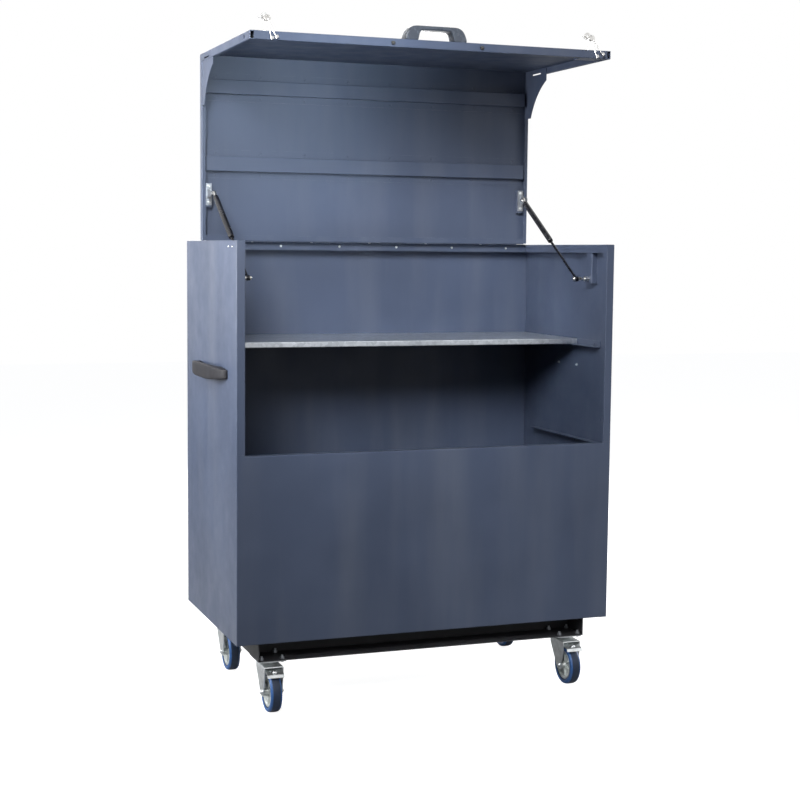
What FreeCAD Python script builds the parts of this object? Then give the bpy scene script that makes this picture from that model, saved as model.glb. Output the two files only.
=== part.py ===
import FreeCAD, Part
import math
import os

os.makedirs("parts", exist_ok=True)
V = FreeCAD.Vector

# A wheeled jobsite storage box, mm. The origin is on the floor, halfway along the box and midway
# between its rear wall and the edge of the opened flap. +X is the right-hand end, -Y the front with
# the opening, +Z up. The lid is modelled closed and then turned to its rest position, fully open.

# ---- steel body ----
BOX_WIDTH = 1220.0
BOX_DEPTH = 650.0
BODY_HEIGHT = 1190.0
SHEET = 2.0
FOLD_INNER_RADIUS = 0.5
EDGE_WIDTH = 26.0
EDGE_RETURN = 27.0
SILL_HEIGHT = 563.0
POST_STEP = 4.0
SILL_TURN_DOWN = 12.0
BASE_LIP = 20.0
BASE_LIP_END_GAP = 5.0
SEAM_GAP = 0.2
FLOOR_UPSTAND = 15.0

# ---- base ----
CASTOR_HEIGHT = 157.0
BEARER_HEIGHT = 60.0
BEARER_SHEET = 3.0
BEARER_SETBACK_FRONT = 22.0
BEARER_SETBACK_SIDE = 72.0
BEARER_WIDTH = 106.0
SIDE_BEARER_FLANGE = 40.0

# ---- shelf and ledges ----
SHELF_HEIGHT = 882.0
SHELF_FRONT_SETBACK = 230.0
SHELF_LIP = 18.0
SHELF_HEM = 8.0
SHELF_END_GAP = 1.0
LEDGE_WIDTH = 25.0
LEDGE_SHEET = 2.5
LEDGE_FRONT_SETBACK = 75.0
LOW_LEDGE_HEIGHT = 557.0
LOW_LEDGE_FRONT_SETBACK = 73.0
LOW_LEDGE_LENGTH = 470.0
LEDGE_RIVET_RADIUS = 4.0
LEDGE_RIVET_HEIGHT = 1.6
LEDGE_RIVET_COUNT = 4
LEDGE_RIVET_END = 40.0

# ---- lid ----
LID_SIDE_GAP = 9.0
FLAP_RECESS = 5.0
FLAP_SILL_GAP = 8.0
SKIRT = 25.0
SKIRT_LIP = 12.0
HINGE_SKIRT_LIP = 18.0
LIP_CORNER_GAP = 0.4
GUSSET_DROP = 163.0
GUSSET_REACH = 167.0
GUSSET_DROP_NOSE = 48.0
GUSSET_REACH_NOSE = 45.0
GUSSET_WAIST = 24.0
GUSSET_SHEET = 2.0
SLOT_START = 55.0
SLOT_LENGTH = 70.0
SLOT_WIDTH = 5.0
SLOT_INSET = 18.0
RAIL_END_GAP = 3.0
RAIL_DEPTH = 20.0
RAIL_SHEET = 1.5
RAIL_FLANGE = 22.0
UPPER_RAIL_START = 77.5
UPPER_RAIL_FACE = 45.0
LOWER_RAIL_FROM_HINGE = 228.5
LOWER_RAIL_FACE = 48.0
RIVET_RADIUS = 4.0
RIVET_HEIGHT = 1.6
RIVET_SHANK_RADIUS = 2.0
RIVET_END = 35.0
RIVET_COUNT = 8
BUMPER_RADIUS = 6.0
BUMPER_SILL_GAP = 0.6
BUMPER_SPACING = 283.0
BUMPER_INSET = 13.5

# ---- piano hinge ----
HINGE_FROM_REAR = 47.0
HINGE_BELOW_TOP = 3.5
KNUCKLE_RADIUS = 4.0
KNUCKLE_CLEARANCE = 0.3
KNUCKLE_LENGTH = 25.0
HINGE_END_GAP = 37.0
PIN_RADIUS = 2.0
PIN_CLEARANCE = 0.05
LEAF_SHEET = 1.5
LEAF_DEPTH = 20.0
HINGE_SCREW_END = 30.0
HINGE_SCREW_COUNT = 6
HINGE_SCREW_DROP = 10.5
HINGE_SCREW_RADIUS = 4.0
HINGE_SCREW_HEIGHT = 1.6
HINGE_SCREW_SHANK = 2.0

# ---- lid handle ----
HANDLE_LENGTH = 196.0
HANDLE_TOP = 166.0
HANDLE_SHOULDER = 32.0
HANDLE_HEIGHT = 44.0
HANDLE_END_HEIGHT = 10.0
HANDLE_BAR = 13.0
HANDLE_OPENING_FOOT = 112.0
HANDLE_OPENING_TOP = 96.0
HANDLE_WIDTH = 42.0
HANDLE_FROM_EDGE = 11.5
HANDLE_ROUNDING = 5.0
HANDLE_SCREW_INSET = 21.0

# ---- side handles ----
GRIP_LENGTH = 400.0
GRIP_STRAIGHT = 250.0
GRIP_REACH = 38.0
GRIP_BAR = 13.0
GRIP_PLATE = 4.0
GRIP_OPENING = 236.0
GRIP_WIDTH = 46.0
GRIP_FROM_FRONT = 305.5
GRIP_BELOW_SHELF = 87.0
GRIP_ROUNDING = 3.5
GRIP_SCREW_SPACING = 131.0
GRIP_SCREW_RADIUS = 2.5
GRIP_SCREW_HEAD_RADIUS = 5.0
GRIP_SCREW_HEAD_HEIGHT = 2.5
GRIP_NUT_RADIUS = 4.5
GRIP_NUT_HEIGHT = 3.0

# ---- general fasteners ----
BOLT_RADIUS = 4.0
BOLT_CLEARANCE = 0.1
BOLT_HEAD_RADIUS = 7.0
BOLT_HEAD_HEIGHT = 3.0
NUT_RADIUS = 7.5
NUT_HEIGHT = 6.0
THREAD_END = 3.0

# ---- gas struts ----
STRUT_FROM_OPENING = 41.0
STRUT_BODY_FROM_FRONT = 130.0
STRUT_BODY_BELOW_TOP = 110.0
STRUT_LID_FORWARD = 56.0
STRUT_LID_UP = 155.5
STUD_RADIUS = 4.0
STUD_CLEARANCE = 0.05
STUD_HEAD_RADIUS = 6.5
STUD_HEAD_HEIGHT = 7.0
STUD_SPACER_LENGTH = 12.0
STUD_BLOCK_RADIUS = 9.0
STUD_BLOCK_LENGTH = 15.0
EYE_RADIUS = 8.5
EYE_WIDTH = 10.0
EYE_NECK = 13.0
NECK_RADIUS = 4.6
ROD_RADIUS = 4.0
TUBE_RADIUS = 9.0
TUBE_BORE_RADIUS = 7.5
TUBE_CLOSED_GAP = 57.0
TUBE_END_CAP = 22.0
GLAND_LENGTH = 8.0
PISTON_LENGTH = 12.0
SLIDE_CLEARANCE = 0.05
ROD_INSIDE = 34.0
STUD_OPEN_GAP = 0.4

# ---- strut brackets ----
BODY_BRACKET_SHEET = 3.0
BODY_BRACKET_FLANGE = 36.0
BODY_BRACKET_BEFORE_STUD = 23.0
BODY_BRACKET_BELOW_STUD = 14.0
BODY_BRACKET_FOOT = 68.0
BRACKET_RIVET_DROP = 18.0
BRACKET_RIVET_FROM_FOLD = 10.0
BRACKET_RIVET_SPACING = 44.0
BRACKET_RIVET_RADIUS = 3.5
BRACKET_RIVET_HEIGHT = 1.5
LID_PAD_FROM_STRUT = 9.0
LID_PAD_WIDTH = 22.0
LID_PAD_LENGTH = 78.0
LID_PAD_HEIGHT = 15.0
LID_PAD_BELOW_PIVOT = 5.0
LID_BRACKET_SHEET = 2.5
LID_BRACKET_WIDTH = 20.0
LID_BRACKET_LENGTH = 70.0
LID_BRACKET_CORNER = 2.0
LID_BRACKET_BELOW_PIVOT = 2.0
LID_BRACKET_EAR = 30.0
LID_BRACKET_NOSE = 9.0
LID_BRACKET_NOSE_ROUNDING = 8.0
LID_BRACKET_FROM_STRUT = 10.5
LID_BRACKET_SCREW_SPACING = 52.0
LID_BRACKET_SCREW_RADIUS = 5.1

# ---- locks ----
RIGHT_LOCK_FROM_LID_END = 68.0
LEFT_LOCK_FROM_LID_END = 51.0
KEY_FROM_EDGE = 28.0
BOLT_LINE_FROM_EDGE = 64.5
BOLT_LINE_INSET = 12.5
LOCK_CASE_LENGTH = 75.0
LOCK_CASE_WIDTH = 66.0
LOCK_CASE_DEPTH = 20.5
LOCK_CASE_SHEET = 1.5
LOCK_CASE_FROM_EDGE = 12.5
LOCK_CASE_LIP_GAP = 2.0
LOCK_BOLT_RADIUS = 6.0
LOCK_BOLT_CLEARANCE = 0.06
LOCK_BOLT_LENGTH = 60.0
LOCK_BOLT_TIP_INSET = 4.0
SKIRT_HOLE_RADIUS = 6.5
POST_HOLE_RADIUS = 7.0
TALON_THICKNESS = 3.0
TALON_LENGTH = 28.0
TALON_KEY_GAP = 2.0
ESCUTCHEON_RADIUS = 11.0
ESCUTCHEON_HEIGHT = 2.0

# ---- keys ----
KEY_SHAFT_RADIUS = 3.0
KEY_CLEARANCE = 0.06
KEY_BOW_RADIUS = 11.0
KEY_BOW_THICKNESS = 2.5
KEY_BOW_HOLE = 4.0
KEY_BOW_CENTRE = 45.0
KEY_DEPTH = 18.0
KEY_BIT_REACH = 11.0
KEY_BIT_LENGTH = 8.0
KEY_BIT_THICKNESS = 2.5
RING_RADIUS = 18.0
RING_ABOVE_FLAP = 42.0
RING_WIRE = 0.8
SPARE_LENGTH = 72.0
SPARE_SHAFT_RADIUS = 1.6
SPARE_BOW_RADIUS = 10.0
SPARE_BOW_THICKNESS = 2.0
SPARE_BOW_DROP = 6.0
SPARE_BOW_HOLE = 3.0
SPARE_BIT = 8.0
SPARE_BIT_INSET = 2.0
SPARE_LEAN = 17.0
SPARE_FROM_RING = 2.2
SPARE_LAYER = 3.4
LEFT_KEY_FAN = 8.0
LEFT_KEY_FAN_STEP = 12.0
RIGHT_KEY_FAN = 11.0
RIGHT_KEY_FAN_STEP = 18.0

# ---- castors ----
CASTOR_FROM_END = 117.0
CASTOR_FROM_FRONT = 75.0
CASTOR_TRAIL = 38.0
WHEEL_RADIUS = 62.5
TREAD_WIDTH = 36.0
TREAD_ROUNDING = 8.0
TYRE_INNER_RADIUS = 46.0
RIM_WIDTH = 30.0
RIM_INNER_RADIUS = 39.0
WEB_WIDTH = 10.0
HUB_RADIUS = 11.0
HUB_LEG_GAP = 0.5
AXLE_RADIUS = 5.0
AXLE_CLEARANCE = 0.05
AXLE_NUT_RADIUS = 7.5
AXLE_NUT_HEIGHT = 7.0
PLATE_THICKNESS = 3.5
PLATE_WIDTH = 86.0
PLATE_DEPTH = 100.0
PLATE_CORNER = 6.0
PLATE_BOLT_INSET = 11.0
SWIVEL_HEAD_RADIUS = 28.0
SWIVEL_HEAD_HEIGHT = 10.0
SWIVEL_GAP = 0.3
KING_PIN_RADIUS = 6.0
KING_PIN_CLEARANCE = 0.06
KING_PIN_LENGTH = 8.0
FORK_SHEET = 3.0
FORK_WIDTH = 60.0
FORK_FRONT = 64.0
FORK_BACK = 28.0
FORK_EAR_DROP = 26.0
FORK_HEEL_DROP = 17.0
FORK_TIP_RADIUS = 13.0
PEDAL_PIN_FORWARD = 56.0
PEDAL_PIN_BELOW_CROWN = 11.5
PEDAL_PIN_RADIUS = 3.0
PEDAL_PIN_CLEARANCE = 0.05
PEDAL_SIDE_GAP = 1.0
PEDAL_SHEET = 2.5
PEDAL_EAR_RADIUS = 6.0
PEDAL_LENGTH = 34.5
PEDAL_SLOPE = 22.0
PEDAL_LIP = 9.0
PEDAL_LIP_SLOPE = 64.0
PEDAL_HEEL = 4.0
PEDAL_TOP_OFFSET = 6.4
PEDAL_TRAVEL = 10.0
SHOE_WIDTH = 30.0
SHOE_LENGTH = 12.0
SHOE_START = 12.0
SHOE_TYRE_GAP = 0.5
PEDAL_STUD_RADIUS = 7.0
PEDAL_STUD_AT = 22.0

# ---- places that follow from the sizes above ----
HALF_WIDTH = BOX_WIDTH / 2
FRONT = -BOX_DEPTH / 2
REAR = BOX_DEPTH / 2
BODY_BOTTOM = CASTOR_HEIGHT + BEARER_HEIGHT
BODY_TOP = BODY_BOTTOM + BODY_HEIGHT
SILL_TOP = BODY_BOTTOM + SILL_HEIGHT
POST_FOOT = SILL_TOP + POST_STEP
OPENING_HALF = HALF_WIDTH - EDGE_WIDTH
WALL_INNER = HALF_WIDTH - SHEET
BACK_OUTER = REAR - SHEET
BACK_INNER = BACK_OUTER - SHEET
FOLD_OUTER_RADIUS = FOLD_INNER_RADIUS + SHEET
HINGE_Y = REAR - HINGE_FROM_REAR
HINGE_Z = BODY_TOP - HINGE_BELOW_TOP
LEAF_FACE = KNUCKLE_RADIUS + KNUCKLE_CLEARANCE
LID_HALF = OPENING_HALF - LID_SIDE_GAP
LID_REAR = HINGE_Y - LEAF_FACE
FLAP_FACE = FRONT + FLAP_RECESS
FLAP_EDGE = SILL_TOP + FLAP_SILL_GAP
BOLT_LINE_Y = FLAP_FACE + BOLT_LINE_INSET
BOLT_LINE_Z = FLAP_EDGE + BOLT_LINE_FROM_EDGE
RIGHT_LOCK_X = LID_HALF - RIGHT_LOCK_FROM_LID_END
LEFT_LOCK_X = LID_HALF - LEFT_LOCK_FROM_LID_END
KEY_Z = FLAP_EDGE + KEY_FROM_EDGE
CASTOR_X = HALF_WIDTH - CASTOR_FROM_END
CASTOR_Y = -FRONT - CASTOR_FROM_FRONT
RAIL_HALF = LID_HALF - SKIRT_LIP - RAIL_END_GAP
UPPER_RAIL_Y = FLAP_FACE + UPPER_RAIL_START
LOWER_RAIL_Y = HINGE_Y - LOWER_RAIL_FROM_HINGE - LOWER_RAIL_FACE
KNUCKLE_COUNT = 2 * int((LID_HALF - HINGE_END_GAP) / KNUCKLE_LENGTH - 0.5) + 1
HINGE_HALF = KNUCKLE_COUNT * KNUCKLE_LENGTH / 2
GRIP_Z = BODY_BOTTOM + SHELF_HEIGHT - GRIP_BELOW_SHELF
STRUT_X = OPENING_HALF - STRUT_FROM_OPENING
STRUT_BODY_Y = FRONT + STRUT_BODY_FROM_FRONT
STRUT_BODY_Z = BODY_TOP - STRUT_BODY_BELOW_TOP
STRUT_LID_Y = HINGE_Y - STRUT_LID_FORWARD
STRUT_LID_Z = HINGE_Z + STRUT_LID_UP
OPEN_EDGE_Y = HINGE_Y + FLAP_EDGE - HINGE_Z
ORIGIN_SHIFT = -(REAR + OPEN_EDGE_Y) / 2
STRUT_LENGTH = math.hypot(STRUT_LID_Y - STRUT_BODY_Y, STRUT_LID_Z - STRUT_BODY_Z)
STRUT_ANGLE = math.degrees(math.atan2(STRUT_LID_Z - STRUT_BODY_Z, STRUT_LID_Y - STRUT_BODY_Y))
STRUT_CLOSED_LENGTH = math.hypot(HINGE_Y - STRUT_LID_UP - STRUT_BODY_Y,
                                 HINGE_Z - STRUT_LID_FORWARD - STRUT_BODY_Z)
BRACKET_FRONT = STRUT_BODY_Y - BODY_BRACKET_BEFORE_STUD
BRACKET_FACE = OPENING_HALF + SHEET + SEAM_GAP
LID_PAD_X = STRUT_X + LID_PAD_FROM_STRUT
LID_PAD_FACE = HINGE_Y + HINGE_BELOW_TOP - SHEET - LID_PAD_HEIGHT
TUBE_LENGTH = STRUT_CLOSED_LENGTH - TUBE_END_CAP - TUBE_CLOSED_GAP
ROD_LENGTH = STRUT_LENGTH - TUBE_END_CAP - TUBE_LENGTH + ROD_INSIDE


# ---- helpers ----
def place(plane, across, up, level):
    """Point at a level along the axis that names the plane."""
    if plane == "X":
        return V(level, across, up)
    if plane == "Y":
        return V(across, level, up)
    return V(across, up, level)


def rounded_wire(points, radii):
    """Closed wire through flat points, with each corner rounded by its own radius."""
    if not isinstance(radii, (list, tuple)):
        radii = [radii] * len(points)
    corners = []
    for index, corner in enumerate(points):
        back = (points[index - 1] - corner).normalize()
        ahead = (points[(index + 1) % len(points)] - corner).normalize()
        radius = radii[index]
        if radius <= 0:
            corners.append((corner, None, corner))
            continue
        half = back.getAngle(ahead) / 2
        reach = radius / math.tan(half)
        middle = corner + (back + ahead).normalize() * (radius / math.sin(half) - radius)
        corners.append((corner + back * reach, middle, corner + ahead * reach))
    edges = []
    for index, (start, middle, end) in enumerate(corners):
        if middle is not None:
            edges.append(Part.Arc(start, middle, end).toShape())
        following = corners[(index + 1) % len(corners)][0]
        if end.distanceToPoint(following) > 1e-5:
            edges.append(Part.makeLine(end, following))
    return Part.Wire(edges)


def slab(plane, outline, start, end, radii=0):
    """Plate with a rounded outline, between two levels of the axis that names the plane."""
    points = [place(plane, across, up, start) for across, up in outline]
    return Part.Face(rounded_wire(points, radii)).extrude(place(plane, 0, 0, end - start))


def folded_sheet(plane, path, thickness, start, end):
    """Bent sheet. The path is its outer face, and the metal lies to the left of the path."""
    normals = []
    for first, second in zip(path, path[1:]):
        length = math.hypot(second[0] - first[0], second[1] - first[1])
        normals.append(((first[1] - second[1]) / length, (second[0] - first[0]) / length))
    outer_radii = [0.0]
    inner_radii = [0.0]
    inner = [(path[0][0] + thickness * normals[0][0], path[0][1] + thickness * normals[0][1])]
    for index in range(1, len(path) - 1):
        before = normals[index - 1]
        after = normals[index]
        spread = thickness / (1 + before[0] * after[0] + before[1] * after[1])
        inner.append((path[index][0] + spread * (before[0] + after[0]),
                      path[index][1] + spread * (before[1] + after[1])))
        turns_left = before[0] * after[1] - before[1] * after[0] > 0
        outer_radii.append(FOLD_INNER_RADIUS + (thickness if turns_left else 0))
        inner_radii.append(FOLD_INNER_RADIUS + (0 if turns_left else thickness))
    inner.append((path[-1][0] + thickness * normals[-1][0], path[-1][1] + thickness * normals[-1][1]))
    outer_radii.append(0.0)
    inner_radii.append(0.0)
    return slab(plane, list(path) + inner[::-1], start, end, outer_radii + inner_radii[::-1])


def turned(plane, centre, base, profile, radii=0, side=1):
    """Turned solid. The profile holds pairs of radius and height above the base."""
    points = [place(plane, centre[0] + radius, centre[1], base + side * height)
              for radius, height in profile]
    face = Part.Face(rounded_wire(points, radii))
    solid = face.revolve(place(plane, centre[0], centre[1], 0), place(plane, 0, 0, 1), 360)
    if solid.Volume < 0:
        solid.reverse()
    return solid


def rod(plane, centre, radius, start, end):
    """Round bar along the axis that names the plane."""
    return Part.makeCylinder(radius, end - start, place(plane, centre[0], centre[1], start),
                             place(plane, 0, 0, 1))


def dome_fastener(plane, centre, face, side, head_radius, head_height, shank_radius, shank_length):
    """Domed head standing on a face, with its shank going back through the face."""
    profile = [(0, -shank_length), (shank_radius, -shank_length), (shank_radius, 0),
               (head_radius, 0), (head_radius, head_height), (0, head_height)]
    return turned(plane, centre, face, profile, [0, 0, 0, 0, head_height * 0.85, 0], side)


def centred_row(count, pitch):
    """Places of equal pitch around zero."""
    return [(index - (count - 1) / 2) * pitch for index in range(count)]


def mirrored(shape):
    """The same piece for the other end of the box."""
    return shape.mirror(V(0, 0, 0), V(1, 0, 0))


def opened(shape):
    """A piece of the closed lid, turned about the hinge to the open position."""
    turned_shape = shape.copy()
    turned_shape.rotate(V(0, HINGE_Y, HINGE_Z), V(1, 0, 0), -90)
    return turned_shape


def save(name, shape):
    """Write one sub-part, whether it is one solid or a group, moved to the box's origin."""
    placed = shape.copy()
    if len(placed.Solids) == 1:
        placed = placed.Solids[0]
    placed.translate(V(0, ORIGIN_SHIFT, 0))
    placed.exportStep("parts/" + name + ".step")


def group(shapes):
    return Part.makeCompound([solid for shape in shapes for solid in shape.Solids])


# ---- steel body ----
def body_envelope():
    """Outer block of the body with rounded upright and top edges, which trims folded corners."""
    block = Part.makeBox(BOX_WIDTH, BOX_DEPTH, BODY_HEIGHT, V(-HALF_WIDTH, FRONT, BODY_BOTTOM))
    rounded = [edge for edge in block.Edges
               if edge.CenterOfMass.z > BODY_BOTTOM + SHEET]
    return block.makeFillet(FOLD_OUTER_RADIUS, rounded)


def bracket_rivet_places():
    """Rivets of the body bracket's foot through the wall, as pairs of y and z."""
    rear = BRACKET_FRONT - BRACKET_RIVET_FROM_FOLD
    height = BODY_TOP - BRACKET_RIVET_DROP
    return [(rear, height), (rear - BRACKET_RIVET_SPACING, height)]


def grip_screw_places():
    middle = FRONT + GRIP_FROM_FRONT
    return [(middle - GRIP_SCREW_SPACING / 2, GRIP_Z), (middle + GRIP_SCREW_SPACING / 2, GRIP_Z)]


def left_side_panel():
    """End wall with the front post, top flange and rear flange folded from one sheet."""
    post = folded_sheet("Z", [(-OPENING_HALF, REAR), (-HALF_WIDTH, REAR), (-HALF_WIDTH, FRONT),
                              (-OPENING_HALF, FRONT), (-OPENING_HALF, FRONT + EDGE_RETURN)],
                        SHEET, POST_FOOT, BODY_TOP)
    top = folded_sheet("Y", [(-OPENING_HALF, BODY_TOP - EDGE_RETURN), (-OPENING_HALF, BODY_TOP),
                             (-HALF_WIDTH, BODY_TOP), (-HALF_WIDTH, BODY_TOP - EDGE_RETURN)],
                       SHEET, FRONT, REAR)
    return_notch = Part.makeBox(EDGE_WIDTH, REAR - BACK_INNER + SEAM_GAP, BODY_HEIGHT,
                                V(-OPENING_HALF - SHEET - FOLD_INNER_RADIUS, BACK_INNER - SEAM_GAP,
                                  BODY_TOP - SHEET - BODY_HEIGHT))
    top = top.cut(return_notch)
    lower = folded_sheet("Z", [(-OPENING_HALF, REAR), (-HALF_WIDTH, REAR),
                               (-HALF_WIDTH, FRONT + FOLD_OUTER_RADIUS + SEAM_GAP)],
                         SHEET, BODY_BOTTOM, POST_FOOT)
    lip = folded_sheet("Y", [(-HALF_WIDTH, BODY_BOTTOM + BEARER_HEIGHT), (-HALF_WIDTH, BODY_BOTTOM),
                             (-HALF_WIDTH + BASE_LIP, BODY_BOTTOM)],
                       SHEET, FRONT + BASE_LIP + BASE_LIP_END_GAP, BACK_INNER - BASE_LIP - BASE_LIP_END_GAP)
    panel = post.fuse([top, lower, lip]).common(body_envelope())
    for y, z in grip_screw_places():
        panel = panel.cut(rod("X", (y, z), GRIP_SCREW_RADIUS + BOLT_CLEARANCE, -HALF_WIDTH - SHEET,
                              -HALF_WIDTH + 2 * SHEET))
    for y, z in bracket_rivet_places():
        panel = panel.cut(rod("X", (y, z), RIVET_SHANK_RADIUS + BOLT_CLEARANCE, -HALF_WIDTH - SHEET,
                              -HALF_WIDTH + 2 * SHEET))
    keep = rod("X", (BOLT_LINE_Y, BOLT_LINE_Z), POST_HOLE_RADIUS, -OPENING_HALF - 2 * SHEET,
               -OPENING_HALF + SHEET)
    return panel.cut(keep).removeSplitter()


def front_panel():
    """Lower front with an inward sill between the posts and rolled corners below them."""
    wrap = folded_sheet("Z", [(-HALF_WIDTH, FRONT + FOLD_OUTER_RADIUS), (-HALF_WIDTH, FRONT),
                              (HALF_WIDTH, FRONT), (HALF_WIDTH, FRONT + FOLD_OUTER_RADIUS)],
                        SHEET, BODY_BOTTOM, POST_FOOT - SEAM_GAP)
    half = OPENING_HALF - SEAM_GAP
    middle = Part.makeBox(2 * half, 4 * SHEET, BODY_HEIGHT, V(-half, FRONT - SHEET, BODY_BOTTOM - SHEET))
    sill = folded_sheet("X", [(FRONT + EDGE_RETURN, SILL_TOP - SILL_TURN_DOWN),
                              (FRONT + EDGE_RETURN, SILL_TOP), (FRONT, SILL_TOP),
                              (FRONT, BODY_BOTTOM), (FRONT + BASE_LIP, BODY_BOTTOM)],
                        SHEET, -half, half)
    return wrap.cut(middle).fuse(sill).removeSplitter()


def back_panel():
    """Rear wall with its top flange and the down-turned band that carries the hinge."""
    half = OPENING_HALF - SEAM_GAP
    folded = folded_sheet("X", [(BACK_OUTER - BASE_LIP, BODY_BOTTOM), (BACK_OUTER, BODY_BOTTOM),
                                (BACK_OUTER, BODY_TOP), (HINGE_Y + LEAF_FACE, BODY_TOP),
                                (HINGE_Y + LEAF_FACE, BODY_TOP - EDGE_RETURN)],
                          SHEET, -half, half)
    reach = WALL_INNER - FOLD_INNER_RADIUS - SEAM_GAP
    wide = Part.makeBox(2 * reach, SHEET, BODY_HEIGHT - 2 * SHEET - SEAM_GAP,
                        V(-reach, BACK_INNER, BODY_BOTTOM + SHEET))
    return folded.fuse(wide).removeSplitter()


def floor_panel():
    """Floor tray that lies on the lips of the four walls."""
    low = BODY_BOTTOM + SHEET
    front = FRONT + SHEET + SEAM_GAP
    rear = BACK_INNER - SEAM_GAP
    half = WALL_INNER - FOLD_INNER_RADIUS - SEAM_GAP
    return folded_sheet("X", [(front, low + FLOOR_UPSTAND), (front, low), (rear, low),
                              (rear, low + FLOOR_UPSTAND)],
                        SHEET, -half, half)


# ---- base ----
def castor_bolt_places(side, end):
    """Bolt centres of one castor plate, as pairs of x and y."""
    reach_x = PLATE_WIDTH / 2 - PLATE_BOLT_INSET
    reach_y = PLATE_DEPTH / 2 - PLATE_BOLT_INSET
    return [(side * CASTOR_X + across * reach_x, end * CASTOR_Y + along * reach_y)
            for across in (-1, 1) for along in (-1, 1)]


def long_bearer(end):
    """Channel across the front or rear, open outwards and closed at both ends."""
    face = FRONT + BEARER_SETBACK_FRONT
    half = HALF_WIDTH - BEARER_SETBACK_SIDE
    channel = folded_sheet("X", [(face, CASTOR_HEIGHT), (face + BEARER_WIDTH, CASTOR_HEIGHT),
                                 (face + BEARER_WIDTH, BODY_BOTTOM), (face, BODY_BOTTOM)],
                           BEARER_SHEET, -half, half)
    cap = Part.makeBox(BEARER_SHEET, BEARER_WIDTH - BEARER_SHEET / 2, BEARER_HEIGHT - BEARER_SHEET,
                       V(-half, face, CASTOR_HEIGHT + BEARER_SHEET / 2))
    channel = channel.fuse([cap, mirrored(cap)])
    for side in (-1, 1):
        for x, y in castor_bolt_places(side, -1):
            channel = channel.cut(rod("Z", (x, y), BOLT_RADIUS + BOLT_CLEARANCE,
                                      CASTOR_HEIGHT - SHEET, CASTOR_HEIGHT + 2 * BEARER_SHEET))
    channel = channel.removeSplitter()
    if end > 0:
        channel = channel.mirror(V(0, 0, 0), V(0, 1, 0))
    return channel


def side_bearers():
    """Two channels between the long ones, with their webs facing the ends of the box."""
    outer = -HALF_WIDTH + BEARER_SETBACK_SIDE
    half = -FRONT - BEARER_SETBACK_FRONT - BEARER_WIDTH - SEAM_GAP
    channel = folded_sheet("Y", [(outer + SIDE_BEARER_FLANGE, BODY_BOTTOM), (outer, BODY_BOTTOM),
                                 (outer, CASTOR_HEIGHT), (outer + SIDE_BEARER_FLANGE, CASTOR_HEIGHT)],
                           BEARER_SHEET, -half, half)
    return group([channel, mirrored(channel)])


# ---- shelf ----
def shelf_ledge():
    """Angle on the left wall, with its flat leg below, that carries the shelf's end."""
    top = BODY_BOTTOM + SHELF_HEIGHT
    low = top - SHELF_LIP - LEDGE_SHEET
    front, rear = shelf_ledge_span()
    angle = folded_sheet("Y", [(-WALL_INNER, top), (-WALL_INNER, low), (-WALL_INNER + LEDGE_WIDTH, low)],
                         LEDGE_SHEET, front, rear)
    return angle.cut(ledge_holes(front, rear, top - LEDGE_WIDTH / 2))


def low_ledge():
    """Angle on the left wall, with its flat leg on top, just below the sill."""
    top = BODY_BOTTOM + LOW_LEDGE_HEIGHT
    front, rear = low_ledge_span()
    angle = folded_sheet("Y", [(-WALL_INNER + LEDGE_WIDTH, top), (-WALL_INNER, top),
                               (-WALL_INNER, top - LEDGE_WIDTH)],
                         LEDGE_SHEET, front, rear)
    return angle.cut(ledge_holes(front, rear, top - LEDGE_WIDTH / 2))


def shelf_ledge_span():
    return FRONT + LEDGE_FRONT_SETBACK, BACK_INNER - SEAM_GAP


def low_ledge_span():
    front = FRONT + LOW_LEDGE_FRONT_SETBACK
    return front, front + LOW_LEDGE_LENGTH


def ledge_rivet_places(front, rear, height):
    """Rivets of one ledge, as pairs of y and z."""
    pitch = (rear - front - 2 * LEDGE_RIVET_END) / (LEDGE_RIVET_COUNT - 1)
    return [((front + rear) / 2 + along, height) for along in centred_row(LEDGE_RIVET_COUNT, pitch)]


def ledge_holes(front, rear, height):
    return [rod("X", place_on_wall, RIVET_SHANK_RADIUS + PIN_CLEARANCE, -WALL_INNER - SHEET,
                -WALL_INNER + 2 * LEDGE_SHEET)
            for place_on_wall in ledge_rivet_places(front, rear, height)]


def ledge_rivets():
    """Rivets that hold the two left ledges, with their heads on the upright legs."""
    rivets = []
    for span, top in ((shelf_ledge_span(), SHELF_HEIGHT), (low_ledge_span(), LOW_LEDGE_HEIGHT)):
        for place_on_wall in ledge_rivet_places(*span, BODY_BOTTOM + top - LEDGE_WIDTH / 2):
            rivets.append(dome_fastener("X", place_on_wall, -WALL_INNER + LEDGE_SHEET, 1,
                                        LEDGE_RIVET_RADIUS, LEDGE_RIVET_HEIGHT, RIVET_SHANK_RADIUS,
                                        LEDGE_SHEET))
    return rivets


def shelf():
    """Galvanised tray with turned-down front lip and ends that stand on the ledges."""
    top = BODY_BOTTOM + SHELF_HEIGHT
    low = top - SHELF_LIP
    front = FRONT + SHELF_FRONT_SETBACK
    half = WALL_INNER - LEDGE_SHEET - LEDGE_RIVET_HEIGHT - SHELF_END_GAP
    rear = BACK_INNER - SEAM_GAP
    ends = folded_sheet("Y", [(half, low), (half, top), (-half, top), (-half, low)], SHEET,
                        front + FOLD_OUTER_RADIUS + SEAM_GAP, rear)
    lip = folded_sheet("X", [(front + EDGE_RETURN, top), (front, top), (front, low),
                             (front + SHELF_HEM, low)],
                       SHEET, -half + FOLD_OUTER_RADIUS, half - FOLD_OUTER_RADIUS)
    return ends.fuse(lip).removeSplitter()


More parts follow.
